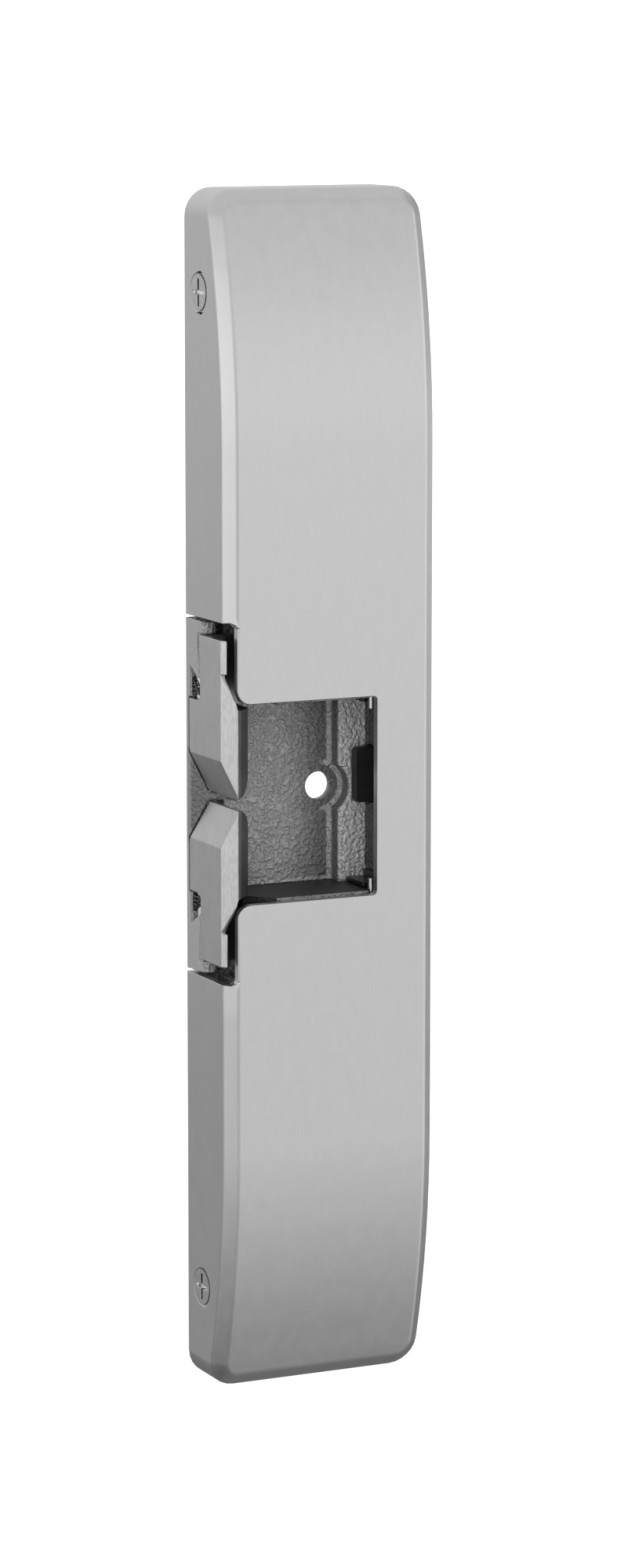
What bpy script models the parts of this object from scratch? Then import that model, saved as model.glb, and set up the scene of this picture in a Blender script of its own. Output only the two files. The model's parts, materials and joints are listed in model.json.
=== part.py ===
"""Surface mounted electric door strike.

The strike stands upright. X runs from the door edge, where the keepers are, to the far side.
Y runs into the door frame, so the mounting plane is Y = 0 and the cover's face is at negative Y.
Z runs along the strike. Many outlines below are written as (x, depth), where depth is -Y.
"""
import math

import bmesh
import bpy
from mathutils import Matrix, Vector

MM = 0.001

# Cover
COVER_LENGTH = 228.6 * MM
COVER_WIDTH = 43.9 * MM
COVER_DEPTH = 18.5 * MM
COVER_WALL = 1.7 * MM
CORNER_RADIUS = 5.3 * MM
BEVEL_WIDTH = 2.4 * MM
BEVEL_DEPTH = 2.0 * MM
INNER_BEVEL = 0.6 * MM
BOW_LENGTH = 48.3 * MM
BOW_DROP = 7.2 * MM
MOUTH_HEIGHT = 38.1 * MM
MOUTH_RIGHT_MARGIN = 12.55 * MM
MOUTH_CORNER = 0.8 * MM
MOUTH_FILLET = 2.6 * MM
SLOT_LENGTH = 68.6 * MM
SLOT_CORNER = 1.0 * MM

# Clearances
FIT_GAP = 0.3 * MM
PIN_GAP = 0.2 * MM
SWING_GAP = 0.4 * MM
SLOT_END_GAP = 0.7 * MM
CUT_MARGIN = 5 * MM

# Base casting
FLOOR = 2.5 * MM
CHANNEL_FLOOR = 0.4 * MM
RIM_WIDTH = 0.35 * MM
RIM_HEIGHT = 1.05 * MM
POCKET_LEDGE = 0.55 * MM
POCKET_WALL = 2.0 * MM
POCKET_OVERREACH = 4.0 * MM
SIDE_WALL = 1.65 * MM
STEP_HEIGHT = 6.0 * MM
STEP_WIDTH = 6.2 * MM
STEP_EASE = 0.5 * MM
SCREW_HOLE_RADIUS = 2.7 * MM
SCREW_HOLE_FROM_STEP = 2.65 * MM
SCREW_HEAD_ROOM = 5.0 * MM
BACK_RELIEF_RADIUS = 3.6 * MM
BACK_RELIEF = 0.6 * MM
WALL_CHAMFER_REACH = 4.7 * MM
WALL_CHAMFER_DROP = 5.4 * MM
PAD_HEIGHT = 1.9 * MM
MOUNT_SLOT_RADIUS = 2.6 * MM
MOUNT_SLOT_TRAVEL = 4.0 * MM
MOUNT_SLOT_FROM_END = 14.0 * MM
WIRE_HOLE_RADIUS = 6.0 * MM
WIRE_HOLE_FROM_SLOT = 20.0 * MM
SCREW_BOSS_HALF = 4.5 * MM
SCREW_BOSS_REACH = 6.5 * MM
SCREW_BOSS_DEPTH = 10.8 * MM
RAMP_FOOT = 1.3 * MM
RAMP_RISE = 3.4 * MM
RAMP_FLAT = 0.8 * MM
RAMP_EDGE = 0.15 * MM
RIDGE_HALF = 0.6 * MM
RIDGE_RISE = 3.9 * MM

# Keepers
KEEPER_THICKNESS = 6.3 * MM
KEEPER_BEVEL = 2.5 * MM
KEEPER_FRONT_DROP = 0.2 * MM
KEEPER_BACK = 2.7 * MM
KEEPER_HEEL = 1.4 * MM
TIP_GAP = 2.0 * MM
VEE_START = 8.2 * MM
VEE_CUT = 2.65 * MM
RELIEF_LENGTH = 5.8 * MM
RELIEF_STRIP = 1.0 * MM
RELIEF_FLOOR = 10.0 * MM
RELIEF_STEP = 0.8 * MM
HINGE_INSET = 1.7 * MM
HINGE_DEPTH = 3.1 * MM
KNUCKLE_RADIUS = 1.7 * MM
PIN_RADIUS = 0.8 * MM
PIN_BOSS_LENGTH = 2.2 * MM
PIN_BOSS_RADIUS = 2.95 * MM
PIN_BOSS_START = 4.0 * MM
PIN_BOSS_SLANT = 2.3 * MM
BOSS_SLANT_ANGLE = 30
BOSS_CAP_WIDTH = 3.3 * MM
BOSS_CAP_DEPTH = 7.8 * MM
BOSS_CAP_CORNER = 1.4 * MM
NOTCH_LENGTH = 12.5 * MM
NOTCH_DEPTH = 6.4 * MM
NOTCH_WIDTH = 5.0 * MM
NOTCH_CORNER = 1.2 * MM
PIN_IN_KEEPER = 8.0 * MM
TIP_ROUND_X = 3.7 * MM
TIP_ROUND_Z = 3.6 * MM
TAIL_FROM_WALL = 3.9 * MM
TAIL_SHORTER = 0.5 * MM
TAIL_REACH = 4.6 * MM
TAIL_BACK = 5.0 * MM
TAIL_FRONT = 9.5 * MM

# Return spring of a keeper
TORSION_RADIUS = 1.3 * MM
TORSION_WIRE = 0.25 * MM
TORSION_PITCH = 0.85 * MM
TORSION_TURNS = 3
TORSION_LEG = 2.1 * MM

# Lock: slide, plunger and solenoid
LOCK_TRAVEL = 4.5 * MM
SLIDE_GAP = 0.5 * MM
SLIDE_WIDTH = 3.8 * MM
SLIDE_FRONT = 13.5 * MM
SLIDE_LENGTH = 10.5 * MM
GUIDE_WALL = 1.2 * MM
PLUNGER_RADIUS = 2.3 * MM
PLUNGER_DEPTH = 10.2 * MM
TONGUE_HALF = 0.8 * MM
TONGUE_LENGTH = 4.4 * MM
LINK_PIN_RADIUS = 0.75 * MM
PLUNGER_HEAD_RADIUS = 3.3 * MM
PLUNGER_HEAD = 1.5 * MM
FRAME_PLATE = 1.2 * MM
FRAME_HALF = 5.7 * MM
FRAME_EAR = 10.0 * MM
FRAME_FROM_SLIDE = 4.5 * MM
SPRING_ROOM = 8.8 * MM
BOBBIN_WALL = 0.5 * MM
BOBBIN_FLANGE = 0.8 * MM
WINDING_RADIUS = 5.0 * MM
SPRING_WIRE = 0.25 * MM
SPRING_TURNS = 6
HEAD_TO_BOSS = 2.6 * MM

# Fasteners
COVER_SCREW_FROM_END = 19.2 * MM
COVER_SCREW_DEPTH = 6.3 * MM
COVER_SCREW_HEAD = 3.55 * MM
RECESS_SHARE = 0.72
COVER_SCREW_CONE = 1.35 * MM
COVER_SCREW_SHANK = 1.7 * MM
COVER_SCREW_LENGTH = 7.5 * MM
FRAME_SCREW_HEAD = 2.0 * MM
SMALL_RECESS_SHARE = 0.6
FRAME_SCREW_SHANK = 1.1 * MM
FRAME_SCREW_INSET = 4.2 * MM
CROSS_WIDTH = 0.75 * MM
CROSS_DEPTH = 0.8 * MM

# Latch monitor
PADDLE_HEIGHT = 10.6 * MM
PADDLE_MIDDLE = 2.4 * MM
PADDLE_REACH = 3.6 * MM
PADDLE_FRONT = 8.4 * MM
PADDLE_TRAVEL = 1.2 * MM
PADDLE_CORNER = 0.8 * MM
FLANGE_MARGIN = 1.0 * MM
FLANGE_THICKNESS = 0.8 * MM
BUTTON_RADIUS = 0.6 * MM
BUTTON_OUT = 0.8 * MM
BUTTON_TRAVEL = 0.6 * MM
SWITCH_THICKNESS = 2.3 * MM
SWITCH_LENGTH = 13.0 * MM
SWITCH_FRONT = 14.0 * MM

# Pocket corner pieces
GUIDE_PIN_RADIUS = 0.65 * MM
GUIDE_PIN_DEPTH = 15.4 * MM
GUIDE_PIN_INSET = 0.2 * MM
GUIDE_PIN_OUT = 2.2 * MM
CLIP_THICKNESS = 0.8 * MM
CLIP_FRONT = 13.8 * MM
CLIP_LEAF = 2.0 * MM
CLIP_REACH = 4.4 * MM

# Circuit board
BOARD_THICKNESS = 1.6 * MM
BOARD_STANDOFF = 0.6 * MM
BOARD_LENGTH = 40.0 * MM
HEADER_LENGTH = 11.0 * MM
HEADER_WIDTH = 12.0 * MM
HEADER_HEIGHT = 7.5 * MM
HEADER_WAYS = 4
HEADER_PORT = 0.9 * MM
CAPACITOR_RADIUS = 3.2 * MM
CAPACITOR_LENGTH = 11.0 * MM
RECTIFIER_SIZE = 6.5 * MM
RECTIFIER_HEIGHT = 2.6 * MM

ROUND = 24
FINE_ROUND = 16
SHARP_ANGLE = 40
CORNER_STEPS = 6
BOW_STEPS = 8

# Places worked out from the sizes above
LEFT = -COVER_WIDTH / 2
RIGHT = COVER_WIDTH / 2
HALF_LENGTH = COVER_LENGTH / 2
HALF_SLOT = SLOT_LENGTH / 2
INSIDE_DEPTH = COVER_DEPTH - COVER_WALL
BASE_LEFT = LEFT + COVER_WALL + FIT_GAP
BASE_RIGHT = RIGHT - COVER_WALL - FIT_GAP
BASE_TOP = HALF_LENGTH - COVER_WALL - FIT_GAP
BASE_FRONT = INSIDE_DEPTH - SWING_GAP
MOUTH_RIGHT = RIGHT - MOUTH_RIGHT_MARGIN
POCKET_HALF = MOUTH_HEIGHT / 2 - POCKET_LEDGE
POCKET_OUTER = POCKET_HALF + POCKET_WALL
POCKET_RIGHT = MOUTH_RIGHT + POCKET_OVERREACH
WALL_RIGHT = POCKET_RIGHT + SIDE_WALL
STEP_LEFT = POCKET_RIGHT - STEP_WIDTH
HOLE_X = STEP_LEFT - SCREW_HOLE_FROM_STEP
HINGE_X = LEFT + HINGE_INSET
KEEPER_FRONT = COVER_DEPTH - KEEPER_FRONT_DROP
KEEPER_INNER = LEFT + KEEPER_THICKNESS
KEEPER_END = HALF_SLOT - SLOT_END_GAP - PIN_BOSS_LENGTH - SWING_GAP
KEEPER_NOSE = KEEPER_THICKNESS - KEEPER_BEVEL
POCKET_LEFT = KEEPER_INNER + SWING_GAP
RAMP_RIGHT = LEFT + VEE_CUT
RAMP_TOP = RAMP_FOOT + RAMP_RISE
RAMP_HALF = VEE_START
RAMP_ROOM = RAMP_HALF + SWING_GAP
RELIEF_START = MOUTH_HEIGHT / 2 - FIT_GAP
RELIEF_END = RELIEF_START + RELIEF_LENGTH
NOTCH_START = KEEPER_END - NOTCH_LENGTH
TAIL_START = POCKET_OUTER + TAIL_FROM_WALL
TAIL_END = KEEPER_END - TAIL_SHORTER
SLIDE_LEFT = KEEPER_INNER + SLIDE_GAP
SLIDE_X = SLIDE_LEFT + SLIDE_WIDTH / 2
SLIDE_START = KEEPER_END + SLIDE_GAP
SLIDE_END = SLIDE_START + SLIDE_LENGTH
NOSE_BACK = TAIL_FRONT + SWING_GAP
PLUNGER_BACK = PLUNGER_DEPTH - PLUNGER_RADIUS
LINK_Z = SLIDE_END - TONGUE_LENGTH / 2 + FIT_GAP
FRAME_START = SLIDE_END + FRAME_FROM_SLIDE
SCREW_Z = HALF_LENGTH - COVER_SCREW_FROM_END
BOSS_START = SCREW_Z - SCREW_BOSS_HALF
HEAD_END = BOSS_START - HEAD_TO_BOSS
FRAME_END = HEAD_END - PLUNGER_HEAD - SPRING_ROOM
FRAME_BACK = FLOOR + FIT_GAP
BORE_RADIUS = PLUNGER_RADIUS + FIT_GAP
COIL_START = FRAME_START + FRAME_PLATE + FIT_GAP
COIL_END = FRAME_END - FRAME_PLATE - FIT_GAP
FRAME_FRONT = PLUNGER_DEPTH + WINDING_RADIUS
EAR_X = SLIDE_X + FRAME_EAR - FRAME_SCREW_HEAD - FIT_GAP
BOARD_LEFT = SLIDE_X + FRAME_EAR + SWING_GAP
BOARD_RIGHT = BASE_RIGHT - SWING_GAP
BOARD_START = SLIDE_END
BOARD_BACK = FLOOR + BOARD_STANDOFF + FIT_GAP
BOARD_FRONT = BOARD_BACK + BOARD_THICKNESS
PADDLE_LEFT = POCKET_RIGHT - PADDLE_REACH
PADDLE_BACK = STEP_HEIGHT + FIT_GAP
FLANGE_LEFT = WALL_RIGHT + FIT_GAP
FLANGE_RIGHT = FLANGE_LEFT + FLANGE_THICKNESS
BUTTON_LEFT = FLANGE_RIGHT + PADDLE_TRAVEL - BUTTON_TRAVEL + PIN_GAP / 2
SWITCH_LEFT = BUTTON_LEFT + BUTTON_OUT
SWITCH_RIGHT = SWITCH_LEFT + SWITCH_THICKNESS
SWITCH_MIDDLE = PADDLE_BACK + (PADDLE_FRONT - PADDLE_BACK) / 2


def material(name, colour, roughness, metallic):
    """A plain Principled material, made once for each name."""
    found = bpy.data.materials.get(name)
    if found:
        return found
    made = bpy.data.materials.new(name)
    made.use_nodes = True
    shader = made.node_tree.nodes["Principled BSDF"]
    shader.inputs["Base Color"].default_value = (*colour, 1)
    shader.inputs["Roughness"].default_value = roughness
    shader.inputs["Metallic"].default_value = metallic
    made.diffuse_color = (*colour, 1)
    return made


def satin_metal():
    return material("satin_metal", (0.58, 0.58, 0.58), 0.38, 1)


def cast_metal():
    return material("cast_metal", (0.3, 0.3, 0.31), 0.6, 1)


def steel():
    return material("steel", (0.6, 0.6, 0.62), 0.3, 1)


def black_plastic():
    return material("black_plastic", (0.02, 0.02, 0.02), 0.6, 0)


def copper_winding():
    return material("copper_winding", (0.5, 0.2, 0.08), 0.4, 1)


def board_green():
    return material("board_green", (0.02, 0.16, 0.07), 0.5, 0)


def white_plastic():
    return material("white_plastic", (0.75, 0.74, 0.7), 0.5, 0)


def at(x, depth, z):
    """A point from its x, its depth in front of the mounting plane and its height."""
    return Vector((x, -depth, z))


def add_object(name, mesh_data, finish=None):
    made = bpy.data.objects.new(name, mesh_data)
    bpy.context.collection.objects.link(made)
    if finish:
        mesh_data.materials.clear()
        mesh_data.materials.append(finish)
    return made


def mesh_from(name, points, faces, smooth=False):
    """A closed mesh with its faces turned outwards."""
    shape = bmesh.new()
    corners = [shape.verts.new(point) for point in points]
    for face in faces:
        shape.faces.new([corners[index] for index in face])
    bmesh.ops.recalc_face_normals(shape, faces=shape.faces)
    data = bpy.data.meshes.new(name)
    shape.to_mesh(data)
    shape.free()
    if smooth:
        data.shade_smooth()
        data.set_sharp_from_angle(angle=math.radians(SHARP_ANGLE))
    return data


def prism(name, outline, along, low, high, smooth=False):
    """Extrude an outline: (x, depth) along Z, (x, z) along the depth or (depth, z) along X."""
    places = {
        "z": lambda point, level: at(point[0], point[1], level),
        "depth": lambda point, level: at(point[0], level, point[1]),
        "x": lambda point, level: at(level, point[0], point[1]),
    }
    place = places[along]
    count = len(outline)
    points = [place(point, low) for point in outline] + [place(point, high) for point in outline]
    faces = [list(range(count)), list(range(count, 2 * count))]
    for index in range(count):
        following = (index + 1) % count
        faces.append([index, following, count + following, count + index])
    return add_object(name, mesh_from(name, points, faces, smooth))


def box(name, x_span, depth_span, z_span):
    outline = [
        (x_span[0], depth_span[0]),
        (x_span[1], depth_span[0]),
        (x_span[1], depth_span[1]),
        (x_span[0], depth_span[1]),
    ]
    return prism(name, outline, "z", z_span[0], z_span[1])


def arc(centre, radius, start, end, steps):
    """Points on a circular arc; the angles are in degrees."""
    points = []
    for step in range(steps + 1):
        angle = math.radians(start + (end - start) * step / steps)
        points.append((centre[0] + radius * math.cos(angle), centre[1] + radius * math.sin(angle)))
    return points


def circle(centre, radius, sides=ROUND):
    return arc(centre, radius, 0, 360, sides)[:-1]


def rounded_outline(low, high, radius, steps=4):
    """A rectangle from low to high with its corners rounded."""
    corners = [
        ((high[0] - radius, high[1] - radius), 0),
        ((low[0] + radius, high[1] - radius), 90),
        ((low[0] + radius, low[1] + radius), 180),
        ((high[0] - radius, low[1] + radius), 270),
    ]
    outline = []
    for centre, start in corners:
        outline += arc(centre, radius, start, start + 90, steps)
    return outline


def rod(name, along, centre, radius, low, high, sides=ROUND):
    return prism(name, circle(centre, radius, sides), along, low, high, smooth=True)


def turned(name, profile, along, centre, sides=ROUND):
    """Turn a closed (radius, station) profile about an axis along X, Z or the depth."""
    places = {
        "z": lambda a, b, station: at(centre[0] + a, centre[1] + b, station),
        "x": lambda a, b, station: at(station, centre[0] + a, centre[1] + b),
        "depth": lambda a, b, station: at(centre[0] + a, station, centre[1] + b),
    }
    place = places[along]
    points = []
    rings = []
    for radius, station in profile:
        if radius == 0:
            rings.append([len(points)] * sides)
            points.append(place(0, 0, station))
            continue
        rings.append(list(range(len(points), len(points) + sides)))
        for a, b in circle((0, 0), radius, sides):
            points.append(place(a, b, station))
    faces = []
    for ring, following in zip(rings, rings[1:] + rings[:1]):
        for side in range(sides):
            after = (side + 1) % sides
            corners = [ring[side], ring[after], following[after], following[side]]
            corners = list(dict.fromkeys(corners))
            if len(corners) > 2:
                faces.append(corners)
    return add_object(name, mesh_from(name, points, faces, smooth=True))


def combine(target, tool, operation):
    """Apply an exact Boolean to the target's mesh and remove the tool."""
    modifier = target.modifiers.new(operation, "BOOLEAN")
    modifier.operation = operation
    modifier.solver = "EXACT"
    modifier.object = tool
    tool.hide_render = True
    tool.display_type = "WIRE"
    depsgraph = bpy.context.evaluated_depsgraph_get()
    data = bpy.data.meshes.new_from_object(target.evaluated_get(depsgraph))
    target.modifiers.clear()
    target.data = data
    bpy.data.objects.remove(tool)
    return target


def cut(target, *tools):
    for tool in tools:
        combine(target, tool, "DIFFERENCE")
    return target


def join(target, *others):
    for other in others:
        combine(target, other, "UNION")
    return target


def finish_piece(piece, name, finish, origin=None, side=1):
    """Name a piece, mirror it for the lower half, set its finish and put its origin on its axis."""
    data = piece.data
    if side < 0:
        data.transform(Matrix.Diagonal((1, 1, -1, 1)))
        data.flip_normals()
    if origin:
        data.transform(Matrix.Translation(-origin))
        piece.location = origin
    piece.name = name
    data.name = name
    data.materials.clear()
    data.materials.append(finish)
    return piece


def half_name(side):
    return "upper" if side > 0 else "lower"


def tube(name, path, radius, sides=6):
    """A round wire along a path, with flat ends."""
    points = []
    across = None
    for index, point in enumerate(path):
        before = path[max(index - 1, 0)]
        after = path[min(index + 1, len(path) - 1)]
        tangent = (after - before).normalized()
        if across is None:
            across = tangent.orthogonal().normalized()
        across = (across - tangent * across.dot(tangent)).normalized()
        upward = tangent.cross(across)
        for side in range(sides):
            angle = 2 * math.pi * side / sides
            points.append(point + radius * (across * math.cos(angle) + upward * math.sin(angle)))
    faces = [list(range(sides)), list(range(len(points) - sides, len(points)))]
    for ring in range(len(path) - 1):
        for side in range(sides):
            after = (side + 1) % sides
            start = ring * sides
            faces.append([start + side, start + after, start + sides + after, start + sides + side])
    return add_object(name, mesh_from(name, points, faces, smooth=True))


def bow(z):
    """How far the cover's face has dropped back at a height, along a circular bow at each end."""
    past = abs(z) - (HALF_LENGTH - BOW_LENGTH)
    if past <= 0:
        return 0
    radius = (BOW_LENGTH ** 2 + BOW_DROP ** 2) / (2 * BOW_DROP)
    return radius - math.sqrt(radius ** 2 - past ** 2)


def cover_outline(inset):
    """The cover's outline in (x, z), with extra points down the sides where the face bows."""
    half_width = COVER_WIDTH / 2 - inset
    half_length = HALF_LENGTH - inset
    radius = CORNER_RADIUS - inset
    straight = HALF_LENGTH - CORNER_RADIUS
    start = HALF_LENGTH - BOW_LENGTH
    stations = [start + (straight - start) * step / BOW_STEPS for step in range(BOW_STEPS)]
    quarter = [(half_width, station) for station in stations]
    quarter += arc((half_width - radius, half_length - radius), radius, 0, 90, CORNER_STEPS)
    outline = list(quarter)
    outline += [(-x, z) for x, z in reversed(quarter)]
    outline += [(-x, -z) for x, z in quarter]
    outline += [(x, -z) for x, z in reversed(quarter)]
    return outline


def bowed_block(name, wall, bevel_width, bevel_depth, back):
    """The cover's outer form, or with a wall the hollow inside it."""
    layers = [
        (cover_outline(wall), lambda z: back),
        (cover_outline(wall), lambda z: COVER_DEPTH - wall - bevel_depth - bow(z)),
        (cover_outline(wall + bevel_width), lambda z: COVER_DEPTH - wall - bow(z)),
    ]
    count = len(layers[0][0])
    points = []
    for outline, depth in layers:
        points += [at(x, depth(z), z) for x, z in outline]
    faces = [list(range(count))]
    for layer in range(len(layers) - 1):
        for index in range(count):
            after = (index + 1) % count
            low = layer * count
            faces.append([low + index, low + after, low + count + after, low + count + index])
    front = (len(layers) - 1) * count
    quarter = count // 4
    right = [front + index for index in range(quarter)]
    left = [front + 2 * quarter - 1 - index for index in range(quarter)]
    right = [front + count - 1 - index for index in range(quarter)][::-1] + right
    left = [front + 2 * quarter + index for index in range(quarter)][::-1] + left
    for step in range(2 * quarter - 1):
        faces.append([right[step], right[step + 1], left[step + 1], left[step]])
    return add_object(name, mesh_from(name, points, faces))


def mouth_outline():
    """The opening in the cover: the keeper slot at the side and the latch mouth beside it."""
    outer = LEFT - CUT_MARGIN
    edge = LEFT + BEVEL_WIDTH
    mouth = MOUTH_HEIGHT / 2
    half = [(outer, HALF_SLOT)]
    half += arc((edge - SLOT_CORNER, HALF_SLOT - SLOT_CORNER), SLOT_CORNER, 90, 0, 3)
    half += arc((edge + MOUTH_FILLET, mouth + MOUTH_FILLET), MOUTH_FILLET, 180, 270, 5)
    half += arc((MOUTH_RIGHT - MOUTH_CORNER, mouth - MOUTH_CORNER), MOUTH_CORNER, 90, 0, 3)
    return half + [(x, -z) for x, z in reversed(half)]


def countersink(name, side_x, z):
    """The clearance cut for a cover screw, along X through a side wall."""
    direction = 1 if side_x < 0 else -1
    head = COVER_SCREW_HEAD + FIT_GAP / 2
    shank = COVER_SCREW_SHANK + PIN_GAP
    profile = [
        (0, side_x - direction * FIT_GAP),
        (head, side_x - direction * FIT_GAP),
        (head, side_x),
        (shank, side_x + direction * (COVER_SCREW_CONE + FIT_GAP / 2)),
        (shank, side_x + direction * (COVER_WALL + CUT_MARGIN)),
        (0, side_x + direction * (COVER_WALL + CUT_MARGIN)),
    ]
    return turned(name, profile, "x", (COVER_SCREW_DEPTH, z))


def make_cover():
    cover = bowed_block("cover", 0, BEVEL_WIDTH, BEVEL_DEPTH, 0)
    cut(cover, bowed_block("cover_hollow", COVER_WALL, INNER_BEVEL, INNER_BEVEL, -CUT_MARGIN))
    cut(cover, prism("cover_mouth", mouth_outline(), "depth", -CUT_MARGIN, COVER_DEPTH + CUT_MARGIN))
    for side_x in (LEFT, RIGHT):
        for z in (SCREW_Z, -SCREW_Z):
            cut(cover, countersink("cover_countersink", side_x, z))
    finish_piece(cover, "cover", satin_metal())


def cross_cut(screw, along, head_face, inward, centre, reach):
    """Cut a cross recess into a screw head. The head's face lies at a station on its axis."""
    half = CROSS_WIDTH / 2
    span = sorted((head_face - inward * FIT_GAP, head_face + inward * CROSS_DEPTH))
    for long_first in (True, False):
        first = reach if long_first else half
        second = half if long_first else reach
        first_span = (centre[0] - first, centre[0] + first)
        second_span = (centre[1] - second, centre[1] + second)
        if along == "x":
            cut(screw, box("recess", span, first_span, second_span))
        else:
            cut(screw, box("recess", first_span, span, second_span))


def make_cover_screws():
    number = 0
    for side_x in (LEFT, RIGHT):
        for z in (SCREW_Z, -SCREW_Z):
            number += 1
            inward = 1 if side_x < 0 else -1
            profile = [
                (0, side_x),
                (COVER_SCREW_HEAD, side_x),
                (COVER_SCREW_SHANK, side_x + inward * COVER_SCREW_CONE),
                (COVER_SCREW_SHANK, side_x + inward * COVER_SCREW_LENGTH),
                (0, side_x + inward * COVER_SCREW_LENGTH),
            ]
            screw = turned("cover_screw", profile, "x", (COVER_SCREW_DEPTH, z))
            reach = COVER_SCREW_HEAD * RECESS_SHARE
            cross_cut(screw, "x", side_x, inward, (COVER_SCREW_DEPTH, z), reach)
            finish_piece(screw, f"cover_screw_{number}", satin_metal())


def base_plate():
    """The base's floor, with its tongue through the cover's slot and the keeper channel cut in."""
    low = (BASE_LEFT, -BASE_TOP)
    high = (BASE_RIGHT, BASE_TOP)
    radius = CORNER_RADIUS - COVER_WALL - FIT_GAP
    plate = prism("base_casting", rounded_outline(low, high, radius), "depth", 0, FLOOR)
    tongue = HALF_SLOT - 2 * FIT_GAP
    channel_right = KEEPER_INNER + FIT_GAP
    cut(plate, box("channel", (LEFT - CUT_MARGIN, channel_right), (-CUT_MARGIN, FLOOR + CUT_MARGIN),
                   (-HALF_SLOT, HALF_SLOT)))
    floor_outline = [
        (LEFT, 0),
        (channel_right + FIT_GAP, 0),
        (channel_right + FIT_GAP, CHANNEL_FLOOR),
        (LEFT + 2 * RIM_WIDTH, CHANNEL_FLOOR),
        (LEFT + RIM_WIDTH, RIM_HEIGHT - PIN_GAP),
        (LEFT, RIM_HEIGHT),
    ]
    join(plate, prism("channel_floor", floor_outline, "z", -tongue, tongue))
    for side in (1, -1):
        ends = sorted((side * (tongue - FIT_GAP), side * (HALF_SLOT + FIT_GAP)))
        join(plate, box("channel_end", (BASE_LEFT + PIN_GAP, channel_right + 2 * FIT_GAP),
                        (0, CHANNEL_FLOOR), ends))
    return plate


def ramp_block():
    """The fixed ramp under the keepers' tips, and the thin ridge that rises between the tips."""
    flat = RAMP_RIGHT + RAMP_FLAT
    outline = [
        (LEFT, FIT_GAP / 2),
        (flat, FIT_GAP / 2),
        (flat, RAMP_TOP),
        (RAMP_RIGHT, RAMP_TOP),
        (LEFT, RAMP_FOOT),
    ]
    block = prism("ramp", outline, "z", -RAMP_HALF, RAMP_HALF)
    for side in (1, -1):
        near = side * (TIP_GAP / 2 - PIN_GAP / 2)
        hidden = [
            (RAMP_RIGHT - RAMP_EDGE, near),
            (LEFT, side * RAMP_HALF),
            (LEFT, side * (RAMP_HALF + CUT_MARGIN)),
            (flat + CUT_MARGIN, side * (RAMP_HALF + CUT_MARGIN)),
            (flat + CUT_MARGIN, near),
        ]
        cut(block, prism("ramp_trim", hidden, "depth", -CUT_MARGIN, COVER_DEPTH))
    ridge_right = KEEPER_INNER + 2 * FIT_GAP
    ridge = [
        (LEFT + RIM_WIDTH, FIT_GAP),
        (ridge_right, FIT_GAP),
        (ridge_right, RAMP_TOP + RIDGE_RISE),
        (ridge_right - FIT_GAP * 2, RAMP_TOP + RIDGE_RISE),
        (RAMP_RIGHT, RAMP_TOP + PIN_GAP),
        (LEFT + RIM_WIDTH, RAMP_FOOT + FIT_GAP),
    ]
    return join(block, prism("ridge", ridge, "z", -RIDGE_HALF, RIDGE_HALF))


def pin_boss(side):
    """The fixed boss that holds a keeper's hinge pin, its wider end and the pad under the spring."""
    flat = math.degrees(math.acos(-HINGE_INSET / PIN_BOSS_RADIUS))
    outline = [(LEFT, FIT_GAP)]
    outline += arc((HINGE_X, HINGE_DEPTH), PIN_BOSS_RADIUS, flat, BOSS_SLANT_ANGLE, 8)
    outline += [(HINGE_X + PIN_BOSS_RADIUS * math.cos(math.radians(BOSS_SLANT_ANGLE)), FIT_GAP)]
    start = NOTCH_START + PIN_BOSS_START
    end = KEEPER_END + SWING_GAP + PIN_BOSS_LENGTH
    low, high = sorted((side * start, side * end))
    boss = prism("pin_boss", outline, "z", low, high)
    slant = [
        (PAD_HEIGHT, side * (start + PIN_BOSS_SLANT)),
        (NOTCH_DEPTH, side * (start - FIT_GAP)),
        (PAD_HEIGHT, side * (start - FIT_GAP)),
    ]
    cut(boss, prism("boss_slant", slant, "x", LEFT - CUT_MARGIN, KEEPER_INNER))
    cap_low, cap_high = sorted((side * (KEEPER_END + SWING_GAP), side * (end - PIN_GAP / 2)))
    cap = rounded_outline((LEFT + PIN_GAP / 2, FIT_GAP * 1.5),
                          (LEFT + BOSS_CAP_WIDTH, BOSS_CAP_DEPTH), BOSS_CAP_CORNER)
    join(boss, prism("boss_cap", cap, "z", cap_low, cap_high))
    cut(boss, rod("pin_hole", "z", (HINGE_X, HINGE_DEPTH), PIN_RADIUS + PIN_GAP,
                  low - FIT_GAP, high + FIT_GAP, FINE_ROUND))
    pad_low, pad_high = sorted((side * (NOTCH_START + FIT_GAP), side * (start + PIN_BOSS_SLANT)))
    pad = box("spring_pad", (LEFT, LEFT + RIM_WIDTH + PIN_GAP), (FIT_GAP, PAD_HEIGHT),
              (pad_low, pad_high))
    return [boss, pad]


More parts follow.
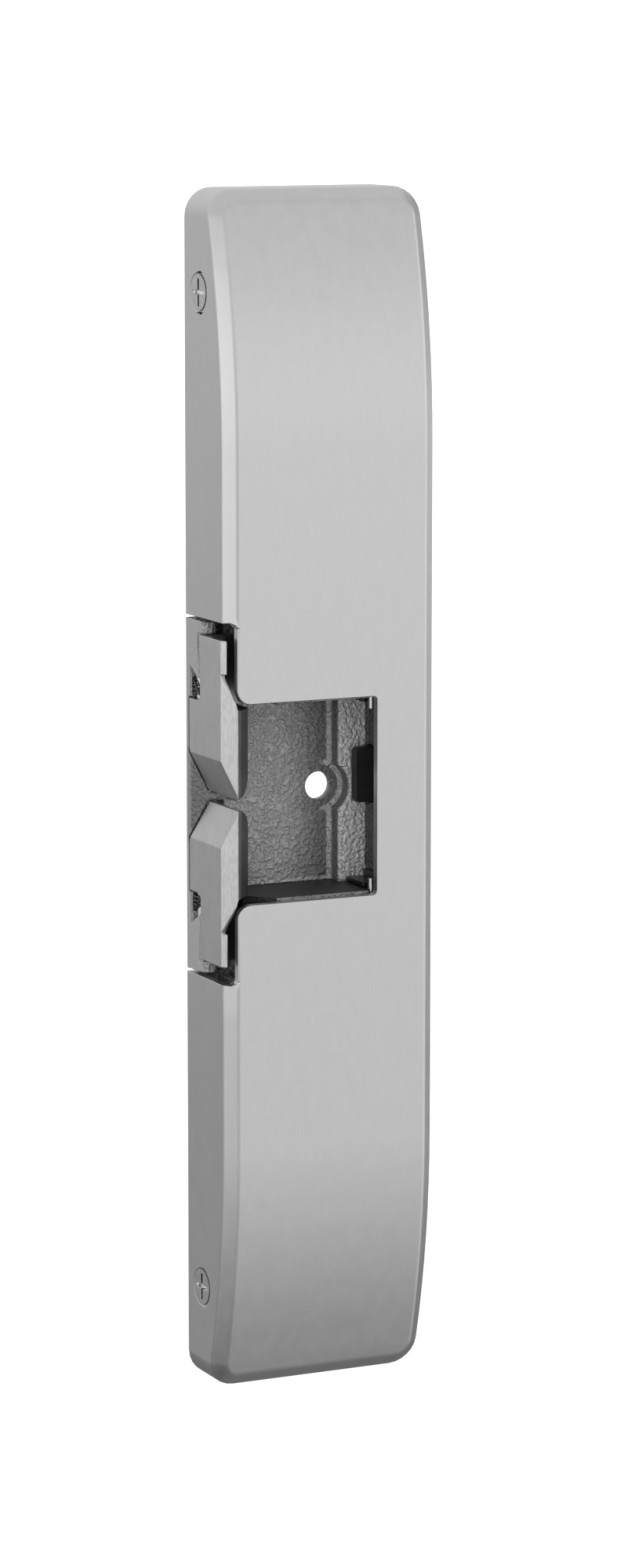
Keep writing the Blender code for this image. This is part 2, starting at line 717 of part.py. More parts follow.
def pocket_walls():
    """The walls round the latch pocket and the raised step at its far side."""
    chamfer = WALL_CHAMFER_REACH
    wall = [
        (POCKET_LEFT, FIT_GAP),
        (WALL_RIGHT, FIT_GAP),
        (WALL_RIGHT, BASE_FRONT),
        (POCKET_LEFT + chamfer, BASE_FRONT),
        (POCKET_LEFT, BASE_FRONT - WALL_CHAMFER_DROP),
    ]
    pieces = []
    for side in (1, -1):
        low, high = sorted((side * POCKET_HALF, side * POCKET_OUTER))
        pieces.append(prism("pocket_wall", wall, "z", low, high))
    middle = POCKET_HALF + POCKET_WALL / 2
    side_wall = box("side_wall", (POCKET_RIGHT, WALL_RIGHT - PIN_GAP / 2),
                    (FIT_GAP * 2, BASE_FRONT - PIN_GAP), (-middle, middle))
    pieces.append(side_wall)
    step_right = POCKET_RIGHT + SIDE_WALL / 2
    step_outline = [
        (STEP_LEFT - STEP_EASE, FIT_GAP * 3),
        (step_right, FIT_GAP * 3),
        (step_right, STEP_HEIGHT),
        (STEP_LEFT + STEP_EASE, STEP_HEIGHT),
        (STEP_LEFT, STEP_HEIGHT - STEP_EASE),
        (STEP_LEFT, FLOOR + STEP_EASE),
        (STEP_LEFT - STEP_EASE, FLOOR),
    ]
    step = prism("step", step_outline, "z", -middle + PIN_GAP, middle - PIN_GAP)
    head_room = [
        (0, FLOOR),
        (SCREW_HEAD_ROOM - STEP_EASE, FLOOR),
        (SCREW_HEAD_ROOM, FLOOR + STEP_EASE),
        (SCREW_HEAD_ROOM, STEP_HEIGHT - STEP_EASE),
        (SCREW_HEAD_ROOM + 2 * STEP_EASE, STEP_HEIGHT + STEP_EASE),
        (0, STEP_HEIGHT + STEP_EASE),
    ]
    cut(step, turned("head_room", head_room, "depth", (HOLE_X, 0)))
    pieces.append(step)
    return pieces


def screw_bosses():
    """Four blocks that the cover's side screws run into."""
    pieces = []
    hole_radius = COVER_SCREW_SHANK + FIT_GAP
    for direction, wall_x in ((1, BASE_LEFT), (-1, BASE_RIGHT)):
        for side in (1, -1):
            spans = sorted((wall_x, wall_x + direction * SCREW_BOSS_REACH))
            boss = box("screw_boss", spans, (FIT_GAP, SCREW_BOSS_DEPTH),
                       (side * SCREW_Z - SCREW_BOSS_HALF, side * SCREW_Z + SCREW_BOSS_HALF))
            hole = rod("screw_hole", "x", (COVER_SCREW_DEPTH, side * SCREW_Z), hole_radius,
                       spans[0] - FIT_GAP, spans[1] + FIT_GAP, FINE_ROUND)
            pieces.append(cut(boss, hole))
    return pieces


def slide_guides(side):
    """Two ribs that keep a locking slide straight."""
    pieces = []
    low, high = sorted((side * (HALF_SLOT + 2 * FIT_GAP), side * (SLIDE_END - LOCK_TRAVEL - FIT_GAP)))
    right_edge = SLIDE_LEFT + SLIDE_WIDTH
    for start in (SLIDE_LEFT - FIT_GAP - GUIDE_WALL, right_edge + FIT_GAP):
        pieces.append(box("guide", (start, start + GUIDE_WALL), (FIT_GAP, SLIDE_FRONT), (low, high)))
    return pieces


def base_holes():
    """Every hole that runs through the base's floor."""
    back = -CUT_MARGIN
    front = FLOOR + CUT_MARGIN
    centre_hole = [
        (0, back),
        (BACK_RELIEF_RADIUS, back),
        (BACK_RELIEF_RADIUS, BACK_RELIEF),
        (SCREW_HOLE_RADIUS, BACK_RELIEF),
        (SCREW_HOLE_RADIUS, front),
        (0, front),
    ]
    holes = [turned("centre_hole", centre_hole, "depth", (HOLE_X, 0))]
    reach = MOUNT_SLOT_RADIUS + MOUNT_SLOT_TRAVEL / 2
    for side in (1, -1):
        z = side * (HALF_LENGTH - MOUNT_SLOT_FROM_END)
        outline = rounded_outline((-reach, z - MOUNT_SLOT_RADIUS), (reach, z + MOUNT_SLOT_RADIUS),
                                  MOUNT_SLOT_RADIUS - PIN_GAP / 4, 6)
        holes.append(prism("mount_slot", outline, "depth", back, front))
    wire_x = (WALL_RIGHT + BOARD_LEFT) / 2
    wire_z = -(HALF_SLOT + WIRE_HOLE_FROM_SLOT)
    holes.append(rod("wire_hole", "depth", (wire_x, wire_z), WIRE_HOLE_RADIUS, back, front))
    for side in (1, -1):
        for z in frame_screw_stations(side):
            holes.append(rod("frame_screw_hole", "depth", (EAR_X, z), FRAME_SCREW_SHANK + PIN_GAP,
                             back, front, FINE_ROUND))
    return holes


def frame_screw_stations(side):
    return (side * (FRAME_START + FRAME_SCREW_INSET), side * (FRAME_END - FRAME_SCREW_INSET))


def guide_pin_place():
    return (MOUTH_RIGHT + GUIDE_PIN_INSET, GUIDE_PIN_DEPTH)


def make_base():
    base = base_plate()
    join(base, ramp_block())
    join(base, *pocket_walls())
    join(base, *screw_bosses())
    for side in (1, -1):
        join(base, *pin_boss(side))
        join(base, *slide_guides(side))
        low, high = sorted((side * (POCKET_HALF - FIT_GAP), side * (POCKET_OUTER + FIT_GAP)))
        pin_x, pin_depth = guide_pin_place()
        room = GUIDE_PIN_RADIUS + PIN_GAP
        groove = arc((pin_x, pin_depth), room, 180, 360, 8)
        groove += [(pin_x + room, COVER_DEPTH), (pin_x - room, COVER_DEPTH)]
        cut(base, prism("guide_pin_groove", groove, "z", low, high))
    for rib_x in (BOARD_LEFT + 2 * FIT_GAP, BOARD_RIGHT - 3 * FIT_GAP - GUIDE_WALL):
        join(base, box("board_rib", (rib_x, rib_x + GUIDE_WALL), (FIT_GAP, FLOOR + BOARD_STANDOFF),
                       (BOARD_START + FIT_GAP, BOARD_START + BOARD_LENGTH - FIT_GAP)))
    window = rounded_outline(
        (PADDLE_BACK - FIT_GAP * 1.5, PADDLE_MIDDLE - PADDLE_HEIGHT / 2 - FIT_GAP),
        (PADDLE_FRONT + FIT_GAP, PADDLE_MIDDLE + PADDLE_HEIGHT / 2 + FIT_GAP), PADDLE_CORNER)
    cut(base, prism("paddle_window", window, "x", POCKET_RIGHT - PADDLE_REACH, WALL_RIGHT + FIT_GAP))
    cut(base, *base_holes())
    finish_piece(base, "base_casting", cast_metal())


def keeper_outline():
    """A keeper's section: round back on the hinge, side face, outer bevel, nose and inner face."""
    outline = [(LEFT, KEEPER_HEEL)]
    outline += arc((HINGE_X, HINGE_DEPTH), KNUCKLE_RADIUS, 270, 300, 3)
    outline += [
        (KEEPER_INNER, KEEPER_BACK),
        (KEEPER_INNER, KEEPER_FRONT - KEEPER_NOSE),
        (LEFT + KEEPER_BEVEL, KEEPER_FRONT),
        (LEFT, KEEPER_FRONT - KEEPER_BEVEL),
    ]
    return outline


def relief_outline():
    """What a keeper leaves free under the cover, in (x, z): a strip that widens in a soft S curve."""
    full = BEVEL_WIDTH - RELIEF_STRIP
    steps = 8
    outline = [(LEFT + RELIEF_STRIP, KEEPER_END + CUT_MARGIN)]
    for step in range(steps + 1):
        share = step / steps
        blend = share * share * (3 - 2 * share)
        outline.append((LEFT + RELIEF_STRIP + full * blend, RELIEF_END - RELIEF_LENGTH * share))
    outline += arc((LEFT + BEVEL_WIDTH + RELIEF_STEP, RELIEF_START), RELIEF_STEP, 200, 270, 4)
    outline += [
        (KEEPER_INNER + CUT_MARGIN, RELIEF_START - RELIEF_STEP),
        (KEEPER_INNER + CUT_MARGIN, KEEPER_END + CUT_MARGIN),
    ]
    return outline


def make_keeper(side):
    tip = TIP_GAP / 2
    keeper = prism("keeper", keeper_outline(), "z", tip, KEEPER_END)
    join(keeper, box("tail", (KEEPER_INNER - FIT_GAP * 2, KEEPER_INNER + TAIL_REACH),
                     (TAIL_BACK, TAIL_FRONT), (TAIL_START, TAIL_END)))
    slope = VEE_CUT / (VEE_START - tip)
    vee = [
        (LEFT - CUT_MARGIN, tip - CUT_MARGIN),
        (LEFT + VEE_CUT + slope * CUT_MARGIN, tip - CUT_MARGIN),
        (LEFT - slope * CUT_MARGIN, VEE_START + CUT_MARGIN),
        (LEFT - CUT_MARGIN, VEE_START + CUT_MARGIN),
    ]
    cut(keeper, prism("vee_cut", vee, "depth", -CUT_MARGIN, COVER_DEPTH + CUT_MARGIN))
    flat_right = RAMP_RIGHT + RAMP_FLAT + SWING_GAP
    ramp_slope = RAMP_RISE / VEE_CUT
    ramp_room = [
        (LEFT - CUT_MARGIN, RAMP_FOOT + SWING_GAP - ramp_slope * CUT_MARGIN),
        (flat_right, -CUT_MARGIN - COVER_DEPTH),
        (flat_right, RAMP_TOP + SWING_GAP),
        (RAMP_RIGHT, RAMP_TOP + SWING_GAP),
    ]
    cut(keeper, prism("ramp_room", ramp_room, "z", tip - CUT_MARGIN, RAMP_ROOM))
    cut(keeper, prism("cover_room", relief_outline(), "depth", RELIEF_FLOOR, COVER_DEPTH + CUT_MARGIN))
    slant_back = KEEPER_FRONT - KEEPER_BEVEL
    slant = [
        (KEEPER_FRONT + FIT_GAP, RELIEF_START - RELIEF_STEP),
        (slant_back, RELIEF_END),
        (KEEPER_FRONT + FIT_GAP, RELIEF_END),
    ]
    cut(keeper, prism("slant", slant, "x", LEFT - CUT_MARGIN, KEEPER_INNER + CUT_MARGIN))
    notch = rounded_outline((-CUT_MARGIN, NOTCH_START), (NOTCH_DEPTH, KEEPER_END + CUT_MARGIN),
                            NOTCH_CORNER)
    cut(keeper, prism("notch", notch, "x", LEFT - CUT_MARGIN, LEFT + NOTCH_WIDTH))
    cut(keeper, rod("pin_hole", "z", (HINGE_X, HINGE_DEPTH), PIN_RADIUS + PIN_GAP,
                    NOTCH_START - PIN_IN_KEEPER, NOTCH_START + CUT_MARGIN, FINE_ROUND))
    round_low = tip + TIP_ROUND_Z
    round_left = KEEPER_INNER - TIP_ROUND_X
    corner = [(KEEPER_INNER + FIT_GAP, round_low)]
    for step in range(CORNER_STEPS + 1):
        angle = math.radians(90 * step / CORNER_STEPS)
        x = round_left + TIP_ROUND_X * math.cos(angle)
        corner.append((x, round_low - TIP_ROUND_Z * math.sin(angle)))
    corner += [(round_left, tip - CUT_MARGIN), (KEEPER_INNER + FIT_GAP, tip - CUT_MARGIN)]
    cut(keeper, prism("tip_round", corner, "depth", -CUT_MARGIN, COVER_DEPTH + CUT_MARGIN))
    finish_piece(keeper, f"keeper_{half_name(side)}", satin_metal(), at(HINGE_X, HINGE_DEPTH, 0), side)


def make_hinge_pin(side):
    start = NOTCH_START - PIN_IN_KEEPER + PIN_GAP
    end = KEEPER_END + SWING_GAP + PIN_BOSS_LENGTH - PIN_GAP
    pin = rod("hinge_pin", "z", (HINGE_X, HINGE_DEPTH), PIN_RADIUS, start, end, FINE_ROUND)
    finish_piece(pin, f"hinge_pin_{half_name(side)}", steel(), side=side)


def make_torsion_spring(side):
    """A wire coil round the hinge pin, with a short leg on the base and a long slanting outer leg."""
    start = NOTCH_START + FIT_GAP + 2 * TORSION_WIRE
    end = start + TORSION_TURNS * TORSION_PITCH
    turn = 360 * TORSION_TURNS + 90
    steps = TORSION_TURNS * 12
    path = [at(HINGE_X + TORSION_LEG, HINGE_DEPTH - TORSION_RADIUS, start)]
    for step in range(steps + 1):
        angle = math.radians(270 - turn * step / steps)
        x = HINGE_X + TORSION_RADIUS * math.cos(angle)
        depth = HINGE_DEPTH + TORSION_RADIUS * math.sin(angle)
        path.append(at(x, depth, start + (end - start) * step / steps))
    path.append(at(HINGE_X - TORSION_RADIUS, NOTCH_DEPTH - 3 * TORSION_WIRE, start + TORSION_WIRE))
    spring = tube("torsion_spring", path, TORSION_WIRE)
    finish_piece(spring, f"torsion_spring_{half_name(side)}", steel(), side=side)


def make_locking_slide(side):
    right = SLIDE_LEFT + SLIDE_WIDTH
    slide = box("slide", (SLIDE_LEFT, right), (PLUNGER_BACK, SLIDE_FRONT), (SLIDE_START, SLIDE_END))
    cut(slide, box("nose_step", (SLIDE_LEFT - CUT_MARGIN, right + CUT_MARGIN), (0, NOSE_BACK),
                   (SLIDE_START - CUT_MARGIN, SLIDE_START + LOCK_TRAVEL)))
    half = TONGUE_HALF + FIT_GAP
    cut(slide, box("tongue_slot", (SLIDE_X - half, SLIDE_X + half), (0, SLIDE_FRONT + CUT_MARGIN),
                   (SLIDE_END - TONGUE_LENGTH + FIT_GAP, SLIDE_END + CUT_MARGIN)))
    cut(slide, rod("link_hole", "x", (PLUNGER_DEPTH, LINK_Z), LINK_PIN_RADIUS + PIN_GAP,
                   SLIDE_LEFT - FIT_GAP, right + FIT_GAP, FINE_ROUND))
    finish_piece(slide, f"locking_slide_{half_name(side)}", steel(), at(SLIDE_X, PLUNGER_DEPTH, 0), side)


def make_link_pin(side):
    pin = rod("link_pin", "x", (PLUNGER_DEPTH, LINK_Z), LINK_PIN_RADIUS,
              SLIDE_LEFT + PIN_GAP / 2, SLIDE_LEFT + SLIDE_WIDTH - PIN_GAP / 2, FINE_ROUND)
    finish_piece(pin, f"link_pin_{half_name(side)}", steel(), at(SLIDE_X, PLUNGER_DEPTH, 0), side)


def make_plunger(side):
    tongue_start = SLIDE_END - TONGUE_LENGTH + 2 * FIT_GAP
    profile = [
        (0, tongue_start),
        (PLUNGER_RADIUS, tongue_start),
        (PLUNGER_RADIUS, HEAD_END - PLUNGER_HEAD),
        (PLUNGER_HEAD_RADIUS, HEAD_END - PLUNGER_HEAD),
        (PLUNGER_HEAD_RADIUS, HEAD_END),
        (0, HEAD_END),
    ]
    plunger = turned("plunger", profile, "z", (SLIDE_X, PLUNGER_DEPTH))
    for direction in (1, -1):
        span = sorted((SLIDE_X + direction * TONGUE_HALF, SLIDE_X + direction * CUT_MARGIN))
        cut(plunger, box("tongue_flat", span, (0, COVER_DEPTH), (0, SLIDE_END + FIT_GAP)))
    cut(plunger, rod("link_hole", "x", (PLUNGER_DEPTH, LINK_Z), LINK_PIN_RADIUS + PIN_GAP,
                     SLIDE_X - CUT_MARGIN, SLIDE_X + CUT_MARGIN, FINE_ROUND))
    finish_piece(plunger, f"plunger_{half_name(side)}", steel(), at(SLIDE_X, PLUNGER_DEPTH, 0), side)


def make_solenoid_frame(side):
    """A bent steel strap: two end plates with plunger holes, and a foot with two ears."""
    outline = [
        (FRAME_BACK, FRAME_START),
        (FRAME_FRONT, FRAME_START),
        (FRAME_FRONT, FRAME_START + FRAME_PLATE),
        (FRAME_BACK + FRAME_PLATE, FRAME_START + FRAME_PLATE),
        (FRAME_BACK + FRAME_PLATE, FRAME_END - FRAME_PLATE),
        (FRAME_FRONT, FRAME_END - FRAME_PLATE),
        (FRAME_FRONT, FRAME_END),
        (FRAME_BACK, FRAME_END),
    ]
    frame = prism("solenoid_frame", outline, "x", SLIDE_X - FRAME_HALF, SLIDE_X + FRAME_HALF)
    for station in (FRAME_START + FRAME_SCREW_INSET, FRAME_END - FRAME_SCREW_INSET):
        ear = box("ear", (SLIDE_X + FRAME_HALF - FIT_GAP, SLIDE_X + FRAME_EAR),
                  (FRAME_BACK, FRAME_BACK + FRAME_PLATE),
                  (station - FRAME_SCREW_HEAD - FIT_GAP, station + FRAME_SCREW_HEAD + FIT_GAP))
        join(frame, ear)
        cut(frame, rod("ear_hole", "depth", (EAR_X, station), FRAME_SCREW_SHANK + PIN_GAP, 0,
                       FRAME_FRONT, FINE_ROUND))
    cut(frame, rod("plunger_hole", "z", (SLIDE_X, PLUNGER_DEPTH), BORE_RADIUS, FRAME_START - CUT_MARGIN,
                   FRAME_END + CUT_MARGIN))
    finish_piece(frame, f"solenoid_frame_{half_name(side)}", steel(), side=side)


def make_bobbin(side):
    flange = WINDING_RADIUS + FIT_GAP
    hub = BORE_RADIUS + BOBBIN_WALL
    profile = [
        (BORE_RADIUS, COIL_START),
        (flange, COIL_START),
        (flange, COIL_START + BOBBIN_FLANGE),
        (hub, COIL_START + BOBBIN_FLANGE),
        (hub, COIL_END - BOBBIN_FLANGE),
        (flange, COIL_END - BOBBIN_FLANGE),
        (flange, COIL_END),
        (BORE_RADIUS, COIL_END),
    ]
    bobbin = turned("bobbin", profile, "z", (SLIDE_X, PLUNGER_DEPTH))
    finish_piece(bobbin, f"bobbin_{half_name(side)}", black_plastic(), side=side)


def make_winding(side):
    inner = BORE_RADIUS + BOBBIN_WALL + FIT_GAP
    start = COIL_START + BOBBIN_FLANGE + FIT_GAP
    end = COIL_END - BOBBIN_FLANGE - FIT_GAP
    profile = [(inner, start), (WINDING_RADIUS, start), (WINDING_RADIUS, end), (inner, end)]
    winding = turned("winding", profile, "z", (SLIDE_X, PLUNGER_DEPTH))
    finish_piece(winding, f"winding_{half_name(side)}", copper_winding(), side=side)


def make_plunger_spring(side):
    radius = (PLUNGER_RADIUS + PLUNGER_HEAD_RADIUS) / 2 + PIN_GAP
    start = FRAME_END + FIT_GAP + SPRING_WIRE
    end = HEAD_END - PLUNGER_HEAD - FIT_GAP - SPRING_WIRE
    steps = SPRING_TURNS * 12
    path = []
    for step in range(steps + 1):
        angle = 2 * math.pi * SPRING_TURNS * step / steps
        x = SLIDE_X + radius * math.cos(angle)
        depth = PLUNGER_DEPTH + radius * math.sin(angle)
        path.append(at(x, depth, start + (end - start) * step / steps))
    spring = tube("plunger_spring", path, SPRING_WIRE)
    finish_piece(spring, f"plunger_spring_{half_name(side)}", steel(), side=side)


def make_frame_screws():
    number = 0
    face = FRAME_BACK + FRAME_PLATE + FIT_GAP
    for side in (1, -1):
        for station in frame_screw_stations(side):
            number += 1
            head = rod("frame_screw", "depth", (EAR_X, station), FRAME_SCREW_HEAD, face,
                       face + FRAME_PLATE)
            join(head, rod("shank", "depth", (EAR_X, station), FRAME_SCREW_SHANK, FIT_GAP,
                           face + FIT_GAP, FINE_ROUND))
            cross_cut(head, "depth", face + FRAME_PLATE, -1, (EAR_X, station), FRAME_SCREW_HEAD * SMALL_RECESS_SHARE)
            finish_piece(head, f"frame_screw_{number}", steel())


def make_monitor_paddle():
    low = PADDLE_MIDDLE - PADDLE_HEIGHT / 2
    high = PADDLE_MIDDLE + PADDLE_HEIGHT / 2
    face = rounded_outline((PADDLE_LEFT, low), (FLANGE_LEFT + FIT_GAP, high), PADDLE_CORNER)
    paddle = prism("paddle", face, "depth", PADDLE_BACK, PADDLE_FRONT)
    join(paddle, box("flange", (FLANGE_LEFT, FLANGE_RIGHT),
                     (PADDLE_BACK - FLANGE_MARGIN, PADDLE_FRONT + FLANGE_MARGIN),
                     (low - FLANGE_MARGIN, high + FLANGE_MARGIN)))
    finish_piece(paddle, "monitor_paddle", black_plastic())


def make_monitor_switch():
    low = PADDLE_MIDDLE - SWITCH_LENGTH / 2
    switch = box("switch", (SWITCH_LEFT, SWITCH_RIGHT), (FRAME_BACK, SWITCH_FRONT),
                 (low, low + SWITCH_LENGTH))
    cut(switch, rod("button_room", "x", (SWITCH_MIDDLE, PADDLE_MIDDLE), BUTTON_RADIUS + FIT_GAP,
                    SWITCH_LEFT - CUT_MARGIN, SWITCH_LEFT + 2 * BUTTON_TRAVEL + FIT_GAP, FINE_ROUND))
    finish_piece(switch, "monitor_switch", black_plastic())
    button = rod("button", "x", (SWITCH_MIDDLE, PADDLE_MIDDLE), BUTTON_RADIUS, BUTTON_LEFT,
                 SWITCH_LEFT + BUTTON_TRAVEL, FINE_ROUND)
    finish_piece(button, "switch_button", white_plastic())


def make_guide_pin(side):
    pin = rod("guide_pin", "z", guide_pin_place(), GUIDE_PIN_RADIUS, POCKET_HALF - GUIDE_PIN_OUT,
              POCKET_OUTER - PIN_GAP, FINE_ROUND)
    finish_piece(pin, f"guide_pin_{half_name(side)}", steel(), side=side)


def make_corner_clip(side):
    """A bent clip in a far corner of the pocket, on the end wall and the side wall."""
    right = POCKET_RIGHT - FIT_GAP
    top = POCKET_HALF - FIT_GAP
    outline = [
        (right - CLIP_REACH, top),
        (right - CLIP_REACH, top - CLIP_THICKNESS),
        (right - CLIP_THICKNESS, top - CLIP_THICKNESS),
        (right - CLIP_THICKNESS, top - CLIP_LEAF),
        (right, top - CLIP_LEAF),
        (right, top),
    ]
    clip = prism("corner_clip", outline, "depth", STEP_HEIGHT + FIT_GAP, CLIP_FRONT)
    cut(clip, rod("clip_hole", "z", guide_pin_place(), GUIDE_PIN_RADIUS + PIN_GAP, top - 2 * CLIP_THICKNESS,
                  top + CUT_MARGIN, FINE_ROUND))
    finish_piece(clip, f"corner_clip_{half_name(side)}", steel(), side=side)


def make_board():
    end = BOARD_START + BOARD_LENGTH
    board = box("board", (BOARD_LEFT, BOARD_RIGHT), (BOARD_BACK, BOARD_FRONT), (BOARD_START, end))
    finish_piece(board, "control_board", board_green())
    front = BOARD_FRONT + FIT_GAP
    middle = (BOARD_LEFT + BOARD_RIGHT) / 2
    header_end = end - FIT_GAP
    header_start = header_end - HEADER_LENGTH
    header = box("header", (middle - HEADER_WIDTH / 2, middle + HEADER_WIDTH / 2),
                 (front, front + HEADER_HEIGHT), (header_start, header_end))
    pitch = HEADER_WIDTH / HEADER_WAYS
    for way in range(HEADER_WAYS):
        x = middle - HEADER_WIDTH / 2 + pitch * (way + 0.5)
        cut(header, rod("port", "z", (x, front + HEADER_HEIGHT / 2), HEADER_PORT,
                        header_start + FRAME_PLATE, header_end + CUT_MARGIN, FINE_ROUND))
    finish_piece(header, "wire_header", white_plastic())
    capacitor_depth = front + CAPACITOR_RADIUS
    capacitor = rod("capacitor", "z", (BOARD_LEFT + CAPACITOR_RADIUS + FIT_GAP, capacitor_depth),
                    CAPACITOR_RADIUS, BOARD_START + FRAME_PLATE,
                    BOARD_START + FRAME_PLATE + CAPACITOR_LENGTH)
    finish_piece(capacitor, "capacitor", black_plastic())
    rectifier_left = BOARD_RIGHT - RECTIFIER_SIZE - FRAME_PLATE
    rectifier = box("rectifier", (rectifier_left, rectifier_left + RECTIFIER_SIZE),
                    (front, front + RECTIFIER_HEIGHT),
                    (BOARD_START + FRAME_PLATE, BOARD_START + FRAME_PLATE + RECTIFIER_SIZE))
    finish_piece(rectifier, "rectifier", black_plastic())


def main():
    for existing in list(bpy.data.objects):
        bpy.data.objects.remove(existing)
    make_base()
    make_cover()
    make_cover_screws()
    for side in (1, -1):
        make_keeper(side)
        make_hinge_pin(side)
        make_torsion_spring(side)
        make_locking_slide(side)
        make_link_pin(side)
        make_plunger(side)
        make_solenoid_frame(side)
        make_bobbin(side)
        make_winding(side)
        make_plunger_spring(side)
        make_guide_pin(side)
        make_corner_clip(side)
    make_frame_screws()
    make_monitor_paddle()
    make_monitor_switch()
    make_board()


main()
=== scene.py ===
"""Look of the surface mounted electric door strike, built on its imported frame."""
import json
import math

import bmesh
import bpy
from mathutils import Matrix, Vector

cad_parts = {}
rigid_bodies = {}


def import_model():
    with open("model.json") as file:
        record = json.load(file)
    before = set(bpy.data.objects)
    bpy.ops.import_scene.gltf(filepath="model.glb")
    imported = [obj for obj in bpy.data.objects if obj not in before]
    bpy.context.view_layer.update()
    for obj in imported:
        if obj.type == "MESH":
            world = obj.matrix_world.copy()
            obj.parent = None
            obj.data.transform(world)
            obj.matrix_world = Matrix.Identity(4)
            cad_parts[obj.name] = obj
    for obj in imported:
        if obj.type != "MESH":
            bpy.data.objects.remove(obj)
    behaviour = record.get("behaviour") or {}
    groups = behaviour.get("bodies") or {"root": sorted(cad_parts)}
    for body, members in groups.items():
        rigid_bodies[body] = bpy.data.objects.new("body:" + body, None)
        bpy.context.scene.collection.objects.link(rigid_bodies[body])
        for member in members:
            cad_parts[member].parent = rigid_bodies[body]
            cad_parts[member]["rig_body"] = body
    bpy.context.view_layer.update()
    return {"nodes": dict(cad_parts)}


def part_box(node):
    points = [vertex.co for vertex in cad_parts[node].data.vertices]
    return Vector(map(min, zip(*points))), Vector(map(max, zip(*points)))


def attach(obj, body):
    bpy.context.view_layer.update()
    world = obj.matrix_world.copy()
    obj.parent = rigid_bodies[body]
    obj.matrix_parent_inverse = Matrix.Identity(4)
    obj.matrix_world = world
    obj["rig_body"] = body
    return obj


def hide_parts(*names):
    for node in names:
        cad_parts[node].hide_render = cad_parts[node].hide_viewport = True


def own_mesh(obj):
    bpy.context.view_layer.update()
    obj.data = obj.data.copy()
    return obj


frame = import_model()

MM = 0.001
HALVES = ("upper", "lower")
COVER_SCREWS = [f"cover_screw_{number}" for number in range(1, 5)]
FRAME_SCREWS = [f"frame_screw_{number}" for number in range(1, 5)]

# A fade is where a mask goes from 0 to 1, as (start, end) in mm. A stretch is a fade in
# and a fade out. Both run along one axis of the strike, whose front looks along -Y.
# The cover's slanted border, with a painted highlight along its upper part, painted shade at its
# lower end and a painted highlight line at the right:
BORDER = ((-21.93, -21.87), (-19.75, -19.6))
BORDER_PAINTED_HIGHLIGHT = ((28, 30), (98.6, 100.2))
BORDER_PAINTED_SHADE_END = (-42, -38)
BORDER_HIGHLIGHT_LINE = ((19.3, 19.42), (19.75, 19.9))

# The keepers' inner bevel and outer facet, where shade is painted:
KEEPER_BEVEL = (-18.4, -18.15)
KEEPER_FACET = (-21.9, -21.8)
KEEPER_FACET_END = (-15.8, -15.5)

# The base's latch pocket, its walls, floor and step, with the screw hole in the step's foot; shade
# and light are painted on them.
# Along the length, places are distances from the middle:
POCKET_LEFT = (-15.6, -15.2)
POCKET_FRONT = (-16.6, -16.2)
POCKET_BACK = (-1.6, -1.2)
POCKET_CORNER = (17.5, 17.8)
END_WALL = ((18.25, 18.45), (24, 25))
RIGHT_WALL = (12.7, 13.0)
RAMP_RIGHT = (-15.7, -15.2)
RAMP_END = (9.0, 9.6)
RAMP_BACK = (-0.8, -0.4)
LOW_FLOOR = (-3.1, -2.8)
FLOOR_SHADE = (-3, 6)
RISER = ((-5.7, -5.4), (-3.3, -3.0))
PLATEAU = ((-6.6, -6.3), (-5.8, -5.6))
STEP_X = 7.15
HOLE_X = 4.5
HOLE_SIDE = (0.0, 1)
HOLE_END = (4.6, 5.2)
HOLE_RIM = (4.0, 4.3)
# How far in from its left side the base counts as machined bright:
FLUSH_DEPTH = (0.12, 0.45)

# The cross recess of a side screw, from the head's face and from its middle, where shade and a
# highlight are painted:
RECESS_DEPTH = (-0.22, -0.1)
RECESS_ARM = (0.42, 0.52)

# Brightness of the studio by direction, as (height, level) points; height is the
# direction's Z, and the panel at the front left is a share of the light ahead.
LIGHT_AHEAD = ((-0.8, 0.24), (-0.67, 0.33), (-0.56, 0.46), (-0.45, 0.66), (-0.33, 0.84),
               (-0.21, 0.91), (-0.09, 1.14), (0.07, 1.2), (0.2, 1.03), (0.3, 0.88),
               (0.36, 0.79))
LIGHT_PANEL = ((-0.61, 0.58), (-0.52, 0.66), (-0.32, 0.7), (-0.23, 0.75), (-0.13, 1.22),
               (0.2, 1.17), (0.26, 0.9), (0.36, 1.0))
LIGHT_BEHIND = ((-0.5, 0.2), (-0.33, 0.28), (-0.28, 0.40), (-0.04, 0.66), (0.4, 0.86),
                (1.0, 0.9))
PANEL_SIDE = (0.4, 0.62)
NOTCH_LEFT, NOTCH_RIGHT, NOTCH_TOP = (-0.52, -0.34), (-0.12, 0.08), (0.1, 0.28)
NOTCH_SHARE = 0.4
STRIP_SIDE, STRIP_FRONT = (0.83, 0.87), (0.28, 0.36)
STRIP_FOOT, STRIP_TOP = (-0.3, -0.1), (0.2, 0.34)
STRIP_LEVEL = 0.35
RIGHT_SIDE, RIGHT_SHARE = (0.62, 0.8), 0.5
FRONT_TO_BEHIND = (-0.15, 0.35)
VIEW_DIRECTION = (0.4257, 0.8921, -0.1518)
BACKDROP_ANGLES = (17, 12)
BACKDROP_LEVEL = 1.04

FLOOR_LEVEL, FLOOR_NEAR, FLOOR_FAR, FLOOR_SIDE = -0.45, 1.3, 14.0, 12.0
# Painted shade of the floor's left part: its brightness by distance behind the strike.
FLOOR_DIMMING = ((1.4, 0.3), (2.8, 0.45), (6.0, 0.6), (12.0, 0.7))

CAMERA_PLACE = (-0.3883, -0.8323, 0.1483)
CAMERA_PITCH, CAMERA_YAW = -9.16, -25.22
CAMERA_LENS, CAMERA_SENSOR = 111.3, 36

# The middle tones of a noise, which a change of colour is spread over.
SPREAD = (0.3, 0.7)

